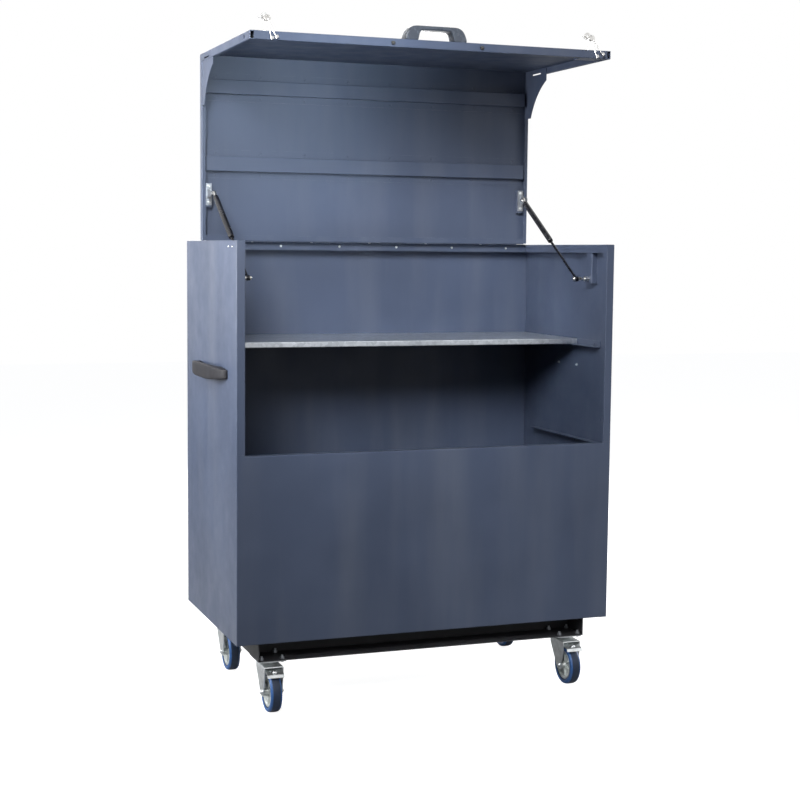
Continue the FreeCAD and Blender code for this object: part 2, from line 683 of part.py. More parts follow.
# ---- side handles ----
def left_grip():
    """Moulded bow on the left wall, with a hand opening between the bow and its back plate."""
    middle = FRONT + GRIP_FROM_FRONT
    height = GRIP_Z
    wall = -HALF_WIDTH
    outline = [(wall, middle - GRIP_LENGTH / 2), (wall, middle + GRIP_LENGTH / 2),
               (wall - GRIP_PLATE, middle + GRIP_LENGTH / 2),
               (wall - GRIP_REACH, middle + GRIP_STRAIGHT / 2),
               (wall - GRIP_REACH, middle - GRIP_STRAIGHT / 2),
               (wall - GRIP_PLATE, middle - GRIP_LENGTH / 2)]
    shoulder = GRIP_REACH
    bow = slab("Z", outline, height - GRIP_WIDTH / 2, height + GRIP_WIDTH / 2,
               [0, 0, 0, shoulder, shoulder, 0])
    rim = [edge for edge in bow.Edges
           if abs(abs(edge.CenterOfMass.z - height) - GRIP_WIDTH / 2) < 0.01
           and edge.CenterOfMass.x < wall - GRIP_REACH / 2]
    bow = bow.makeFillet(GRIP_ROUNDING, rim)
    inner = wall - GRIP_REACH + GRIP_BAR
    opening = slab("Z", [(wall - GRIP_PLATE, middle - GRIP_OPENING / 2),
                         (wall - GRIP_PLATE, middle + GRIP_OPENING / 2),
                         (inner, middle + GRIP_OPENING / 2 - GRIP_BAR),
                         (inner, middle - GRIP_OPENING / 2 + GRIP_BAR)],
                   height - GRIP_WIDTH, height + GRIP_WIDTH, [2, 2, 8, 8])
    bow = bow.cut(opening)
    for place_on_wall in grip_screw_places():
        bow = bow.cut(rod("X", place_on_wall, GRIP_SCREW_RADIUS + BOLT_CLEARANCE, wall - GRIP_PLATE - SHEET,
                          wall + SHEET))
    return bow


def left_grip_screws():
    """Screws from the back plate through the wall, with a nut inside the box."""
    screws = []
    through = GRIP_PLATE + SHEET
    for place_on_wall in grip_screw_places():
        screw = dome_fastener("X", place_on_wall, -HALF_WIDTH - GRIP_PLATE, -1, GRIP_SCREW_HEAD_RADIUS,
                              GRIP_SCREW_HEAD_HEIGHT, GRIP_SCREW_RADIUS, through + 2 * GRIP_NUT_HEIGHT)
        nut = slab("X", hexagon(place_on_wall, GRIP_NUT_RADIUS), -WALL_INNER, -WALL_INNER + GRIP_NUT_HEIGHT)
        screws.append(screw.fuse(nut))
    return screws


def hexagon(centre, radius):
    return [(centre[0] + radius * math.cos(math.radians(60 * index)),
             centre[1] + radius * math.sin(math.radians(60 * index))) for index in range(6)]


# ---- lid, closed ----
def lid_shell():
    """Top sheet and front flap in one folded sheet, with skirts and return lips all round."""
    sheet = folded_sheet("X", [(LID_REAR - HINGE_SKIRT_LIP, BODY_TOP - SKIRT), (LID_REAR, BODY_TOP - SKIRT),
                               (LID_REAR, BODY_TOP), (FLAP_FACE, BODY_TOP), (FLAP_FACE, FLAP_EDGE),
                               (FLAP_FACE + SKIRT, FLAP_EDGE),
                               (FLAP_FACE + SKIRT, FLAP_EDGE + SKIRT_LIP)],
                         SHEET, -LID_HALF, LID_HALF)
    end_trim = SKIRT_LIP + LIP_CORNER_GAP
    flap_lip = Part.makeBox(end_trim, SKIRT + SHEET, SKIRT_LIP + SHEET,
                            V(-LID_HALF, FLAP_FACE + SHEET + FOLD_INNER_RADIUS, FLAP_EDGE - SHEET))
    rear_lip = Part.makeBox(end_trim, HINGE_SKIRT_LIP + SHEET, SKIRT,
                            V(-LID_HALF, LID_REAR - HINGE_SKIRT_LIP - SHEET,
                              BODY_TOP - SHEET - FOLD_INNER_RADIUS - SKIRT))
    sheet = sheet.cut([flap_lip, mirrored(flap_lip), rear_lip, mirrored(rear_lip)])
    top_skirt = folded_sheet("Y", [(-LID_HALF + EDGE_WIDTH, BODY_TOP), (-LID_HALF, BODY_TOP),
                                   (-LID_HALF, BODY_TOP - SKIRT),
                                   (-LID_HALF + SKIRT_LIP, BODY_TOP - SKIRT)],
                             SHEET, FLAP_FACE, LID_REAR - SHEET)
    flap_skirt = folded_sheet("Z", [(-LID_HALF + SKIRT_LIP, FLAP_FACE + SKIRT),
                                    (-LID_HALF, FLAP_FACE + SKIRT), (-LID_HALF, FLAP_FACE),
                                    (-LID_HALF + EDGE_WIDTH, FLAP_FACE)],
                              SHEET, FLAP_EDGE, BODY_TOP)
    reach = SKIRT_LIP + SHEET
    plate_room = Part.makeBox(reach, GUSSET_DROP, GUSSET_REACH,
                              V(-LID_HALF + SHEET, FLAP_FACE + SHEET + FOLD_INNER_RADIUS,
                                BODY_TOP - SHEET - FOLD_INNER_RADIUS - GUSSET_REACH))
    ends = top_skirt.fuse(flap_skirt).cut(plate_room)
    flap_end_room = Part.makeBox(reach, SKIRT, SHEET + LIP_CORNER_GAP,
                                 V(-LID_HALF + SHEET, FLAP_FACE + SHEET + FOLD_INNER_RADIUS, FLAP_EDGE))
    ends = ends.cut(flap_end_room)
    lid = sheet.fuse([ends, mirrored(ends)]).common(lid_envelope())
    slot = slab("X", slot_outline(), -LID_HALF - SHEET, -LID_HALF + 2 * SHEET, SLOT_WIDTH / 2 - 0.01)
    hole = rod("X", (BOLT_LINE_Y, BOLT_LINE_Z), SKIRT_HOLE_RADIUS, -LID_HALF - SHEET, -LID_HALF + 2 * SHEET)
    key_holes = [rod("Y", (x, KEY_Z), KEY_SHAFT_RADIUS + LIP_CORNER_GAP, FLAP_FACE - SHEET,
                     FLAP_FACE + 2 * SHEET) for x in (-LEFT_LOCK_X, RIGHT_LOCK_X)]
    lid = lid.cut([slot, mirrored(slot), hole, mirrored(hole)] + key_holes)
    for x, z in lid_handle_screw_places():
        lid = lid.cut(rod("Y", (x, z), BOLT_RADIUS + BOLT_CLEARANCE, FLAP_FACE - SHEET,
                          FLAP_FACE + 2 * SHEET))
    return lid.removeSplitter()


def lid_envelope():
    """Outer L of the lid with rounded end edges, which trims its folded corners."""
    top = Part.makeBox(2 * LID_HALF, LID_REAR - FLAP_FACE, SKIRT, V(-LID_HALF, FLAP_FACE, BODY_TOP - SKIRT))
    flap = Part.makeBox(2 * LID_HALF, SKIRT, BODY_TOP - FLAP_EDGE, V(-LID_HALF, FLAP_FACE, FLAP_EDGE))
    block = top.fuse(flap).removeSplitter()
    corner = BODY_TOP - SKIRT, FLAP_FACE + SKIRT
    rounded = [edge for edge in block.Edges
               if abs(abs(edge.CenterOfMass.x) - LID_HALF) < 0.01
               and (edge.CenterOfMass.y < corner[1] - SHEET or edge.CenterOfMass.z > corner[0] + SHEET)]
    return block.makeFillet(FOLD_OUTER_RADIUS - 0.01, rounded)


def slot_outline():
    """Long slot through skirt and gusset, as pairs of y and z."""
    middle = FLAP_FACE + SLOT_INSET
    top = BODY_TOP - SLOT_START
    return [(middle - SLOT_WIDTH / 2, top - SLOT_LENGTH), (middle + SLOT_WIDTH / 2, top - SLOT_LENGTH),
            (middle + SLOT_WIDTH / 2, top), (middle - SLOT_WIDTH / 2, top)]


def left_gusset():
    """Corner plate inside the skirts, with a hollow inner edge."""
    outer = -LID_HALF + SHEET
    start = SHEET + FOLD_INNER_RADIUS + LIP_CORNER_GAP
    drop = FLAP_FACE + GUSSET_DROP
    reach = BODY_TOP - GUSSET_REACH
    waist = (FLAP_FACE + GUSSET_DROP / 2 + GUSSET_WAIST / 2, BODY_TOP - GUSSET_REACH / 2 - GUSSET_WAIST / 2)
    low = V(outer, drop, BODY_TOP - GUSSET_DROP_NOSE)
    nose = V(outer, FLAP_FACE + GUSSET_REACH_NOSE, reach)
    edges = [Part.makeLine(V(outer, FLAP_FACE + start, BODY_TOP - start), V(outer, drop, BODY_TOP - start)),
             Part.makeLine(V(outer, drop, BODY_TOP - start), low),
             Part.Arc(low, V(outer, waist[0], waist[1]), nose).toShape(),
             Part.makeLine(nose, V(outer, FLAP_FACE + start, reach)),
             Part.makeLine(V(outer, FLAP_FACE + start, reach),
                           V(outer, FLAP_FACE + start, BODY_TOP - start))]
    plate = Part.Face(Part.Wire(edges)).extrude(V(GUSSET_SHEET, 0, 0))
    slot = slab("X", slot_outline(), outer - SHEET, outer + 2 * GUSSET_SHEET, SLOT_WIDTH / 2 - 0.01)
    return plate.cut(slot)


def lid_rail(near, face):
    """Hat-section stiffener across the inside of the top sheet."""
    under = BODY_TOP - SHEET
    far = near + face
    rail = folded_sheet("X", [(near - RAIL_FLANGE, under - RAIL_SHEET), (near, under - RAIL_SHEET),
                              (near, under - RAIL_DEPTH), (far, under - RAIL_DEPTH),
                              (far, under - RAIL_SHEET), (far + RAIL_FLANGE, under - RAIL_SHEET)],
                        RAIL_SHEET, -RAIL_HALF, RAIL_HALF)
    return rail.cut([rod("Z", centre, RIVET_SHANK_RADIUS + PIN_CLEARANCE, under - RAIL_DEPTH, under + SHEET)
                     for centre in rail_rivet_places(near, face)])


def rail_rivet_places(near, face):
    """Rivets along both flanges of one stiffener, as pairs of x and y."""
    pitch = 2 * (RAIL_HALF - RIVET_END) / (RIVET_COUNT - 1)
    return [(x, y) for y in (near - RAIL_FLANGE / 2, near + face + RAIL_FLANGE / 2)
            for x in centred_row(RIVET_COUNT, pitch)]


def rail_rivets():
    """Rivets of both stiffeners, one row along each flange."""
    seat = BODY_TOP - SHEET - RAIL_SHEET
    places = rail_rivet_places(UPPER_RAIL_Y, UPPER_RAIL_FACE)
    places += rail_rivet_places(LOWER_RAIL_Y, LOWER_RAIL_FACE)
    return group([dome_fastener("Z", centre, seat, -1, RIVET_RADIUS, RIVET_HEIGHT, RIVET_SHANK_RADIUS,
                                RAIL_SHEET) for centre in places])


def lid_handle_screw_places():
    reach = HANDLE_LENGTH / 2 - HANDLE_SCREW_INSET
    height = FLAP_EDGE + HANDLE_FROM_EDGE + HANDLE_WIDTH / 2
    return [(-reach, height), (reach, height)]


def lid_handle():
    """Moulded bow handle on the outside of the flap, close to its edge."""
    outline = [(-HANDLE_LENGTH / 2, 0), (-HANDLE_LENGTH / 2, HANDLE_END_HEIGHT),
               (-HANDLE_TOP / 2, HANDLE_HEIGHT), (HANDLE_TOP / 2, HANDLE_HEIGHT),
               (HANDLE_LENGTH / 2, HANDLE_END_HEIGHT), (HANDLE_LENGTH / 2, 0),
               (HANDLE_OPENING_FOOT / 2, 0), (HANDLE_OPENING_TOP / 2, HANDLE_HEIGHT - HANDLE_BAR),
               (-HANDLE_OPENING_TOP / 2, HANDLE_HEIGHT - HANDLE_BAR), (-HANDLE_OPENING_FOOT / 2, 0)]
    outline = [(x, FLAP_FACE - height) for x, height in outline]
    low = FLAP_EDGE + HANDLE_FROM_EDGE
    bow = slab("Z", outline, low, low + HANDLE_WIDTH,
               [0, HANDLE_END_HEIGHT, HANDLE_SHOULDER, HANDLE_SHOULDER, HANDLE_END_HEIGHT, 0,
                0, HANDLE_ROUNDING, HANDLE_ROUNDING, 0])
    rim = [edge for edge in bow.Edges
           if abs(abs(edge.CenterOfMass.z - low - HANDLE_WIDTH / 2) - HANDLE_WIDTH / 2) < 0.01
           and edge.CenterOfMass.y < FLAP_FACE - HANDLE_HEIGHT + HANDLE_BAR / 2]
    bow = bow.makeFillet(HANDLE_ROUNDING, rim)
    for x, z in lid_handle_screw_places():
        bow = bow.cut(rod("Y", (x, z), BOLT_RADIUS, FLAP_FACE - HANDLE_END_HEIGHT, FLAP_FACE + SHEET))
    return bow


def lid_handle_screws():
    """Screws from inside the flap into the feet of the lid handle."""
    return group([dome_fastener("Y", place_on_flap, FLAP_FACE + SHEET, 1, BOLT_HEAD_RADIUS,
                                BOLT_HEAD_HEIGHT, BOLT_RADIUS, SHEET + HANDLE_END_HEIGHT - THREAD_END)
                  for place_on_flap in lid_handle_screw_places()])


def bump_stops():
    """Rubber domes below the flap's edge, which meet the sill when the lid is down."""
    height = FLAP_SILL_GAP - BUMPER_SILL_GAP
    return group([turned("Z", (x, FLAP_FACE + BUMPER_INSET), FLAP_EDGE,
                         [(0, 0), (BUMPER_RADIUS, 0), (BUMPER_RADIUS, height), (0, height)],
                         [0, 0, BUMPER_RADIUS * 0.8, 0], -1)
                  for x in centred_row(2, BUMPER_SPACING)])


# ---- piano hinge, closed ----
def knuckle_spans(first):
    """Start and end of every second knuckle along the hinge."""
    return [(index * KNUCKLE_LENGTH - HINGE_HALF, (index + 1) * KNUCKLE_LENGTH - HINGE_HALF)
            for index in range(first, KNUCKLE_COUNT, 2)]


def hinge_leaf(side, first):
    """One leaf with its knuckles. The side is +1 for the body and -1 for the lid."""
    inner = HINGE_Y + side * (LEAF_FACE - LEAF_SHEET)
    outer = HINGE_Y + side * LEAF_FACE
    plate = slab("X", [(inner, HINGE_Z - LEAF_DEPTH), (outer, HINGE_Z - LEAF_DEPTH), (outer, HINGE_Z),
                       (inner, HINGE_Z)], -HINGE_HALF, HINGE_HALF)
    other = [rod("X", (HINGE_Y, HINGE_Z), LEAF_FACE, start - KNUCKLE_CLEARANCE / 2,
                 end + KNUCKLE_CLEARANCE / 2) for start, end in knuckle_spans(1 - first)]
    knuckles = [rod("X", (HINGE_Y, HINGE_Z), KNUCKLE_RADIUS, start + KNUCKLE_CLEARANCE / 2,
                    end - KNUCKLE_CLEARANCE / 2) for start, end in knuckle_spans(first)]
    roots = [slab("X", [(HINGE_Y, HINGE_Z - KNUCKLE_RADIUS), (outer, HINGE_Z - KNUCKLE_RADIUS),
                        (outer, HINGE_Z), (HINGE_Y, HINGE_Z)],
                  start + KNUCKLE_CLEARANCE / 2, end - KNUCKLE_CLEARANCE / 2)
             for start, end in knuckle_spans(first)]
    bore = rod("X", (HINGE_Y, HINGE_Z), PIN_RADIUS + PIN_CLEARANCE, -HINGE_HALF - SHEET, HINGE_HALF + SHEET)
    leaf = plate.cut(other).fuse(knuckles + roots).cut(bore)
    for x in hinge_screw_places(side):
        leaf = leaf.cut(rod("Y", (x, HINGE_Z - HINGE_SCREW_DROP), HINGE_SCREW_SHANK + PIN_CLEARANCE,
                            HINGE_Y - 2 * LEAF_FACE, HINGE_Y + 2 * LEAF_FACE))
    return leaf.removeSplitter()


def hinge_screw_places(side):
    """Screws of one leaf. Those of the lid stand half a pitch away from those of the body."""
    count = HINGE_SCREW_COUNT if side > 0 else HINGE_SCREW_COUNT - 1
    return centred_row(count, 2 * (HINGE_HALF - HINGE_SCREW_END) / (HINGE_SCREW_COUNT - 1))


def hinge_screws(side):
    face = HINGE_Y + side * (LEAF_FACE - LEAF_SHEET)
    return group([dome_fastener("Y", (x, HINGE_Z - HINGE_SCREW_DROP), face, -side, HINGE_SCREW_RADIUS,
                                HINGE_SCREW_HEIGHT, HINGE_SCREW_SHANK, LEAF_SHEET)
                  for x in hinge_screw_places(side)])


def hinge_pin():
    return rod("X", (HINGE_Y, HINGE_Z), PIN_RADIUS, -HINGE_HALF, HINGE_HALF)


# ---- locks, closed, right-hand end ----
def lock_case_end():
    return LID_HALF - SKIRT_LIP - LOCK_CASE_LIP_GAP


def lock_case():
    """Open-backed box on the inside of the flap that guides the bolt."""
    end = lock_case_end()
    start = end - LOCK_CASE_LENGTH
    low = FLAP_EDGE + LOCK_CASE_FROM_EDGE
    seat = FLAP_FACE + SHEET
    outer = Part.makeBox(LOCK_CASE_LENGTH, LOCK_CASE_DEPTH, LOCK_CASE_WIDTH, V(start, seat, low))
    outer = outer.makeFillet(LOCK_CASE_SHEET, [edge for edge in outer.Edges
                                               if edge.CenterOfMass.y > seat + LOCK_CASE_SHEET])
    hollow = Part.makeBox(LOCK_CASE_LENGTH - 2 * LOCK_CASE_SHEET, LOCK_CASE_DEPTH - LOCK_CASE_SHEET,
                          LOCK_CASE_WIDTH - 2 * LOCK_CASE_SHEET,
                          V(start + LOCK_CASE_SHEET, seat, low + LOCK_CASE_SHEET))
    guide = rod("X", (BOLT_LINE_Y, BOLT_LINE_Z), LOCK_BOLT_RADIUS + LOCK_BOLT_CLEARANCE,
                end - 2 * LOCK_CASE_SHEET, end + SHEET)
    return outer.cut([hollow, guide])


def lock_bolt():
    """Round bolt, drawn back, with the talon plate that the key bit drives."""
    tip = LID_HALF - LOCK_BOLT_TIP_INSET
    start = tip - LOCK_BOLT_LENGTH
    bolt = turned("X", (BOLT_LINE_Y, BOLT_LINE_Z), start,
                  [(0, 0), (LOCK_BOLT_RADIUS, 0), (LOCK_BOLT_RADIUS, LOCK_BOLT_LENGTH),
                   (0, LOCK_BOLT_LENGTH)],
                  [0, 0, SHEET, 0])
    foot = KEY_Z + KEY_BIT_REACH + TALON_KEY_GAP
    talon = Part.makeBox(TALON_LENGTH, TALON_THICKNESS, BOLT_LINE_Z - foot,
                         V(start, BOLT_LINE_Y - TALON_THICKNESS / 2, foot))
    return bolt.fuse(talon).removeSplitter()


def escutcheon(lock_x):
    """Turned ring around the key on the outside of the flap."""
    profile = [(KEY_SHAFT_RADIUS + KEY_CLEARANCE, 0), (ESCUTCHEON_RADIUS, 0),
               (ESCUTCHEON_RADIUS, ESCUTCHEON_HEIGHT), (KEY_SHAFT_RADIUS + KEY_CLEARANCE, ESCUTCHEON_HEIGHT)]
    return turned("Y", (lock_x, KEY_Z), FLAP_FACE, profile, [0, 0, ESCUTCHEON_HEIGHT / 2, 0], -1)


def lock_key(lock_x):
    """Key standing in the lock, with its bit in the lock case and its bow outside."""
    inner = FLAP_FACE + KEY_DEPTH
    bow_y = FLAP_FACE - KEY_BOW_CENTRE
    shaft = rod("Y", (lock_x, KEY_Z), KEY_SHAFT_RADIUS, bow_y + KEY_BOW_HOLE, inner)
    bow = rod("Z", (lock_x, bow_y), KEY_BOW_RADIUS, KEY_Z - KEY_BOW_THICKNESS / 2,
              KEY_Z + KEY_BOW_THICKNESS / 2)
    eye = rod("Z", (lock_x, bow_y), KEY_BOW_HOLE, KEY_Z - 2 * KEY_SHAFT_RADIUS, KEY_Z + 2 * KEY_SHAFT_RADIUS)
    bit = Part.makeBox(KEY_BIT_REACH, KEY_BIT_LENGTH, KEY_BIT_THICKNESS,
                       V(lock_x - KEY_BIT_REACH, inner - KEY_BIT_LENGTH - SHEET,
                         KEY_Z - KEY_BIT_THICKNESS / 2))
    return shaft.fuse([bow, bit]).cut(eye).removeSplitter()


# ---- spare keys, lid open ----
def spare_keys(lock_x, first_fan, fan_step):
    """Ring around the standing key, with two spare keys in front of it that lean over the flap's edge."""
    key_y = HINGE_Y + KEY_Z - HINGE_Z
    ring_z = HINGE_Z + HINGE_Y - FLAP_FACE + RING_ABOVE_FLAP
    pieces = [Part.makeTorus(RING_RADIUS, RING_WIRE, V(lock_x, key_y, ring_z), V(0, 0, 1))]
    for layer in (0, 1):
        key = spare_key()
        key.rotate(V(0, 0, 0), V(0, 1, 0), -first_fan - layer * fan_step)
        key.rotate(V(0, 0, 0), V(1, 0, 0), -SPARE_LEAN)
        key.translate(V(lock_x, key_y - RING_RADIUS - SPARE_FROM_RING - layer * SPARE_LAYER, ring_z))
        pieces.append(key)
    return group(pieces)


def spare_key():
    """Key that hangs down from the middle of its eye."""
    half = SPARE_BOW_THICKNESS / 2
    shaft = rod("Z", (0, 0), SPARE_SHAFT_RADIUS, -SPARE_LENGTH, -SPARE_BOW_DROP - SPARE_BOW_HOLE)
    bow = rod("Y", (0, -SPARE_BOW_DROP), SPARE_BOW_RADIUS, -half, half)
    eye = rod("Y", (0, 0), SPARE_BOW_HOLE, -SPARE_BOW_THICKNESS, SPARE_BOW_THICKNESS)
    bit = Part.makeBox(SPARE_BIT, SPARE_BOW_THICKNESS, SPARE_BIT,
                       V(0, -half, SPARE_BIT_INSET - SPARE_LENGTH))
    return shaft.fuse([bow, bit]).cut(eye).removeSplitter()


# ---- gas struts, lid open, right-hand end ----
def along_strut(shape):
    """Turn a piece modelled along +Y from the origin into the line of the strut."""
    placed = shape.copy()
    placed.rotate(V(0, 0, 0), V(1, 0, 0), STRUT_ANGLE)
    placed.translate(V(STRUT_X, STRUT_BODY_Y, STRUT_BODY_Z))
    return placed


def strut_rod():
    """Piston rod with the eye that turns on the body's stud."""
    eye = rod("X", (0, 0), EYE_RADIUS, -EYE_WIDTH / 2, EYE_WIDTH / 2)
    neck = rod("Y", (0, 0), NECK_RADIUS, 0, EYE_NECK)
    bar = rod("Y", (0, 0), ROD_RADIUS, EYE_NECK - SHEET, ROD_LENGTH)
    piston = rod("Y", (0, 0), TUBE_BORE_RADIUS - SLIDE_CLEARANCE, ROD_LENGTH - PISTON_LENGTH, ROD_LENGTH)
    hole = rod("X", (0, 0), STUD_RADIUS + STUD_CLEARANCE, -EYE_WIDTH, EYE_WIDTH)
    return along_strut(eye.fuse([neck, bar, piston]).cut(hole).removeSplitter())


def strut_tube():
    """Pressure tube with its gland, and the end fitting that carries the lid-end stud."""
    top = STRUT_LENGTH - TUBE_END_CAP
    low = top - TUBE_LENGTH
    tube = rod("Y", (0, 0), TUBE_RADIUS, low, top)
    bore = rod("Y", (0, 0), TUBE_BORE_RADIUS, low + GLAND_LENGTH, top - GLAND_LENGTH)
    gland = rod("Y", (0, 0), ROD_RADIUS + SLIDE_CLEARANCE, low - SHEET, low + 2 * GLAND_LENGTH)
    return along_strut(tube.cut([bore, gland]).removeSplitter())


def strut_end_fitting():
    """Socket on the tube with a stud that ends just short of the lid's bracket."""
    top = STRUT_LENGTH - TUBE_END_CAP
    neck = rod("Y", (0, 0), NECK_RADIUS, top, STRUT_LENGTH)
    eye = rod("X", (STRUT_LENGTH, 0), EYE_RADIUS, -EYE_WIDTH / 2, EYE_WIDTH / 2)
    stud = rod("X", (STRUT_LENGTH, 0), STUD_RADIUS, 0, LID_BRACKET_FROM_STRUT - STUD_OPEN_GAP)
    return along_strut(neck.fuse([eye, stud]).removeSplitter())


def body_bracket():
    """Folded bracket behind the edge's return that holds the body's stud, with a foot on the wall."""
    foot = WALL_INNER - BODY_BRACKET_SHEET
    bracket = folded_sheet("Z", [(BRACKET_FACE, BRACKET_FRONT + BODY_BRACKET_FLANGE),
                                 (BRACKET_FACE, BRACKET_FRONT), (foot, BRACKET_FRONT),
                                 (foot, BRACKET_FRONT - BODY_BRACKET_FOOT)],
                           BODY_BRACKET_SHEET, STRUT_BODY_Z - BODY_BRACKET_BELOW_STUD,
                           BODY_TOP - FOLD_OUTER_RADIUS - SEAM_GAP)
    bracket = bracket.cut(rod("X", (STRUT_BODY_Y, STRUT_BODY_Z), STUD_RADIUS + PIN_CLEARANCE,
                              BRACKET_FACE - SHEET, BRACKET_FACE + 2 * BODY_BRACKET_SHEET))
    return bracket.cut([rod("X", place_on_wall, RIVET_SHANK_RADIUS + PIN_CLEARANCE, foot - SHEET,
                            WALL_INNER + SHEET) for place_on_wall in bracket_rivet_places()])


def body_bracket_rivets():
    """Rivets through the foot and the wall, with a head on each side."""
    rivets = []
    for place_on_wall in bracket_rivet_places():
        inside = dome_fastener("X", place_on_wall, WALL_INNER - BODY_BRACKET_SHEET, -1,
                               BRACKET_RIVET_RADIUS, BRACKET_RIVET_HEIGHT, RIVET_SHANK_RADIUS,
                               BODY_BRACKET_SHEET + SHEET / 2)
        outside = dome_fastener("X", place_on_wall, HALF_WIDTH, 1, BRACKET_RIVET_RADIUS,
                                BRACKET_RIVET_HEIGHT, RIVET_SHANK_RADIUS, SHEET)
        rivets.append(inside.fuse(outside).removeSplitter())
    return rivets


def body_stud():
    """Stud through the body bracket: a head, a gap for the rod's eye, a spacer, a block and a nut."""
    centre = (STRUT_BODY_Y, STRUT_BODY_Z)
    inboard = STRUT_X - EYE_WIDTH / 2 - KNUCKLE_CLEARANCE
    outboard = STRUT_X + EYE_WIDTH / 2 + KNUCKLE_CLEARANCE
    back = BRACKET_FACE + BODY_BRACKET_SHEET
    shank = rod("X", centre, STUD_RADIUS, inboard - STUD_HEAD_HEIGHT / 2, back + NUT_HEIGHT)
    head = turned("X", centre, inboard, [(0, 0), (STUD_HEAD_RADIUS, 0), (STUD_HEAD_RADIUS, STUD_HEAD_HEIGHT),
                                         (0, STUD_HEAD_HEIGHT)], [0, 0, STUD_HEAD_RADIUS / 2, 0], -1)
    spacer = rod("X", centre, STUD_HEAD_RADIUS, outboard, outboard + STUD_SPACER_LENGTH)
    block = slab("X", hexagon(centre, STUD_BLOCK_RADIUS), BRACKET_FACE - STUD_BLOCK_LENGTH, BRACKET_FACE)
    nut = slab("X", hexagon(centre, NUT_RADIUS), back, back + NUT_HEIGHT)
    return shank.fuse([head, spacer, block, nut]).removeSplitter()


def lid_pad():
    """Folded pad on the inside of the lid that carries the lid bracket, with the lid open."""
    left = LID_PAD_X - LID_PAD_WIDTH / 2
    right = LID_PAD_X + LID_PAD_WIDTH / 2
    seat = LID_PAD_FACE + LID_PAD_HEIGHT
    middle = STRUT_LID_Z - LID_PAD_BELOW_PIVOT
    pad = folded_sheet("Z", [(left, seat), (left, LID_PAD_FACE), (right, LID_PAD_FACE), (right, seat)],
                       SHEET, middle - LID_PAD_LENGTH / 2, middle + LID_PAD_LENGTH / 2)
    return pad.cut(lid_bracket_screw_holes())


def lid_bracket():
    """Plate on the lid's pad, with a tapering ear that stands outside the strut's upper end."""
    left = LID_PAD_X - LID_BRACKET_WIDTH / 2
    right = LID_PAD_X + LID_BRACKET_WIDTH / 2
    low = STRUT_LID_Z - LID_BRACKET_BELOW_PIVOT - LID_BRACKET_LENGTH / 2
    high = low + LID_BRACKET_LENGTH
    ear = LID_BRACKET_EAR / 2
    nose = LID_BRACKET_NOSE
    inner = STRUT_X + LID_BRACKET_FROM_STRUT
    plate = slab("Y", [(left, low), (right, low), (right, high), (left, high)],
                 LID_PAD_FACE - LID_BRACKET_SHEET, LID_PAD_FACE, LID_BRACKET_CORNER)
    upright = slab("X", [(LID_PAD_FACE, STRUT_LID_Z - ear), (LID_PAD_FACE, STRUT_LID_Z + ear),
                         (STRUT_LID_Y - nose, STRUT_LID_Z + nose), (STRUT_LID_Y - nose, STRUT_LID_Z - nose)],
                   inner, inner + LID_BRACKET_SHEET,
                   [0, 0, LID_BRACKET_NOSE_ROUNDING, LID_BRACKET_NOSE_ROUNDING])
    return plate.fuse(upright).cut(lid_bracket_screw_holes()).removeSplitter()


def lid_bracket_screw_places():
    """Screws of the lid bracket, as pairs of x and z with the lid open."""
    middle = STRUT_LID_Z - LID_BRACKET_BELOW_PIVOT
    return [(LID_PAD_X, middle + along) for along in centred_row(2, LID_BRACKET_SCREW_SPACING)]


def lid_bracket_screw_holes():
    return [rod("Y", centre, BOLT_RADIUS + PIN_CLEARANCE, LID_PAD_FACE - 2 * LID_BRACKET_SHEET,
                LID_PAD_FACE + 2 * SHEET) for centre in lid_bracket_screw_places()]


def lid_bracket_screws():
    return [dome_fastener("Y", centre, LID_PAD_FACE - LID_BRACKET_SHEET, -1, LID_BRACKET_SCREW_RADIUS,
                          BOLT_HEAD_HEIGHT, BOLT_RADIUS, LID_BRACKET_SHEET + SHEET + THREAD_END)
            for centre in lid_bracket_screw_places()]


# ---- castors, modelled about their swivel axis, trailing to the front ----
CROWN_TOP = CASTOR_HEIGHT - PLATE_THICKNESS - SWIVEL_HEAD_HEIGHT - SWIVEL_GAP
WHEEL_CENTRE = (-CASTOR_TRAIL, WHEEL_RADIUS)
LEG_INNER = FORK_WIDTH / 2 - FORK_SHEET
PEDAL_PIN = (-PEDAL_PIN_FORWARD, CROWN_TOP - FORK_SHEET - PEDAL_PIN_BELOW_CROWN)


def castor_top():
    """Top plate and swivel head, bolted under the bearer."""
    low = CASTOR_HEIGHT - PLATE_THICKNESS
    plate = slab("Z", [(-PLATE_WIDTH / 2, -PLATE_DEPTH / 2), (PLATE_WIDTH / 2, -PLATE_DEPTH / 2),
                       (PLATE_WIDTH / 2, PLATE_DEPTH / 2), (-PLATE_WIDTH / 2, PLATE_DEPTH / 2)],
                 low, CASTOR_HEIGHT, PLATE_CORNER)
    head = turned("Z", (0, 0), low, [(0, 0), (SWIVEL_HEAD_RADIUS, 0),
                                     (SWIVEL_HEAD_RADIUS, SWIVEL_HEAD_HEIGHT), (0, SWIVEL_HEAD_HEIGHT)],
                  [0, 0, SHEET, 0], -1)
    bore = rod("Z", (0, 0), KING_PIN_RADIUS + KING_PIN_CLEARANCE, low - SWIVEL_HEAD_HEIGHT - SHEET,
               low - SWIVEL_HEAD_HEIGHT + KING_PIN_LENGTH + SWIVEL_GAP)
    top = plate.fuse(head).cut(bore)
    for x, y in castor_bolt_places(0, 0):
        top = top.cut(rod("Z", (x, y), BOLT_RADIUS + BOLT_CLEARANCE, low - SHEET, CASTOR_HEIGHT + SHEET))
    return top.removeSplitter()


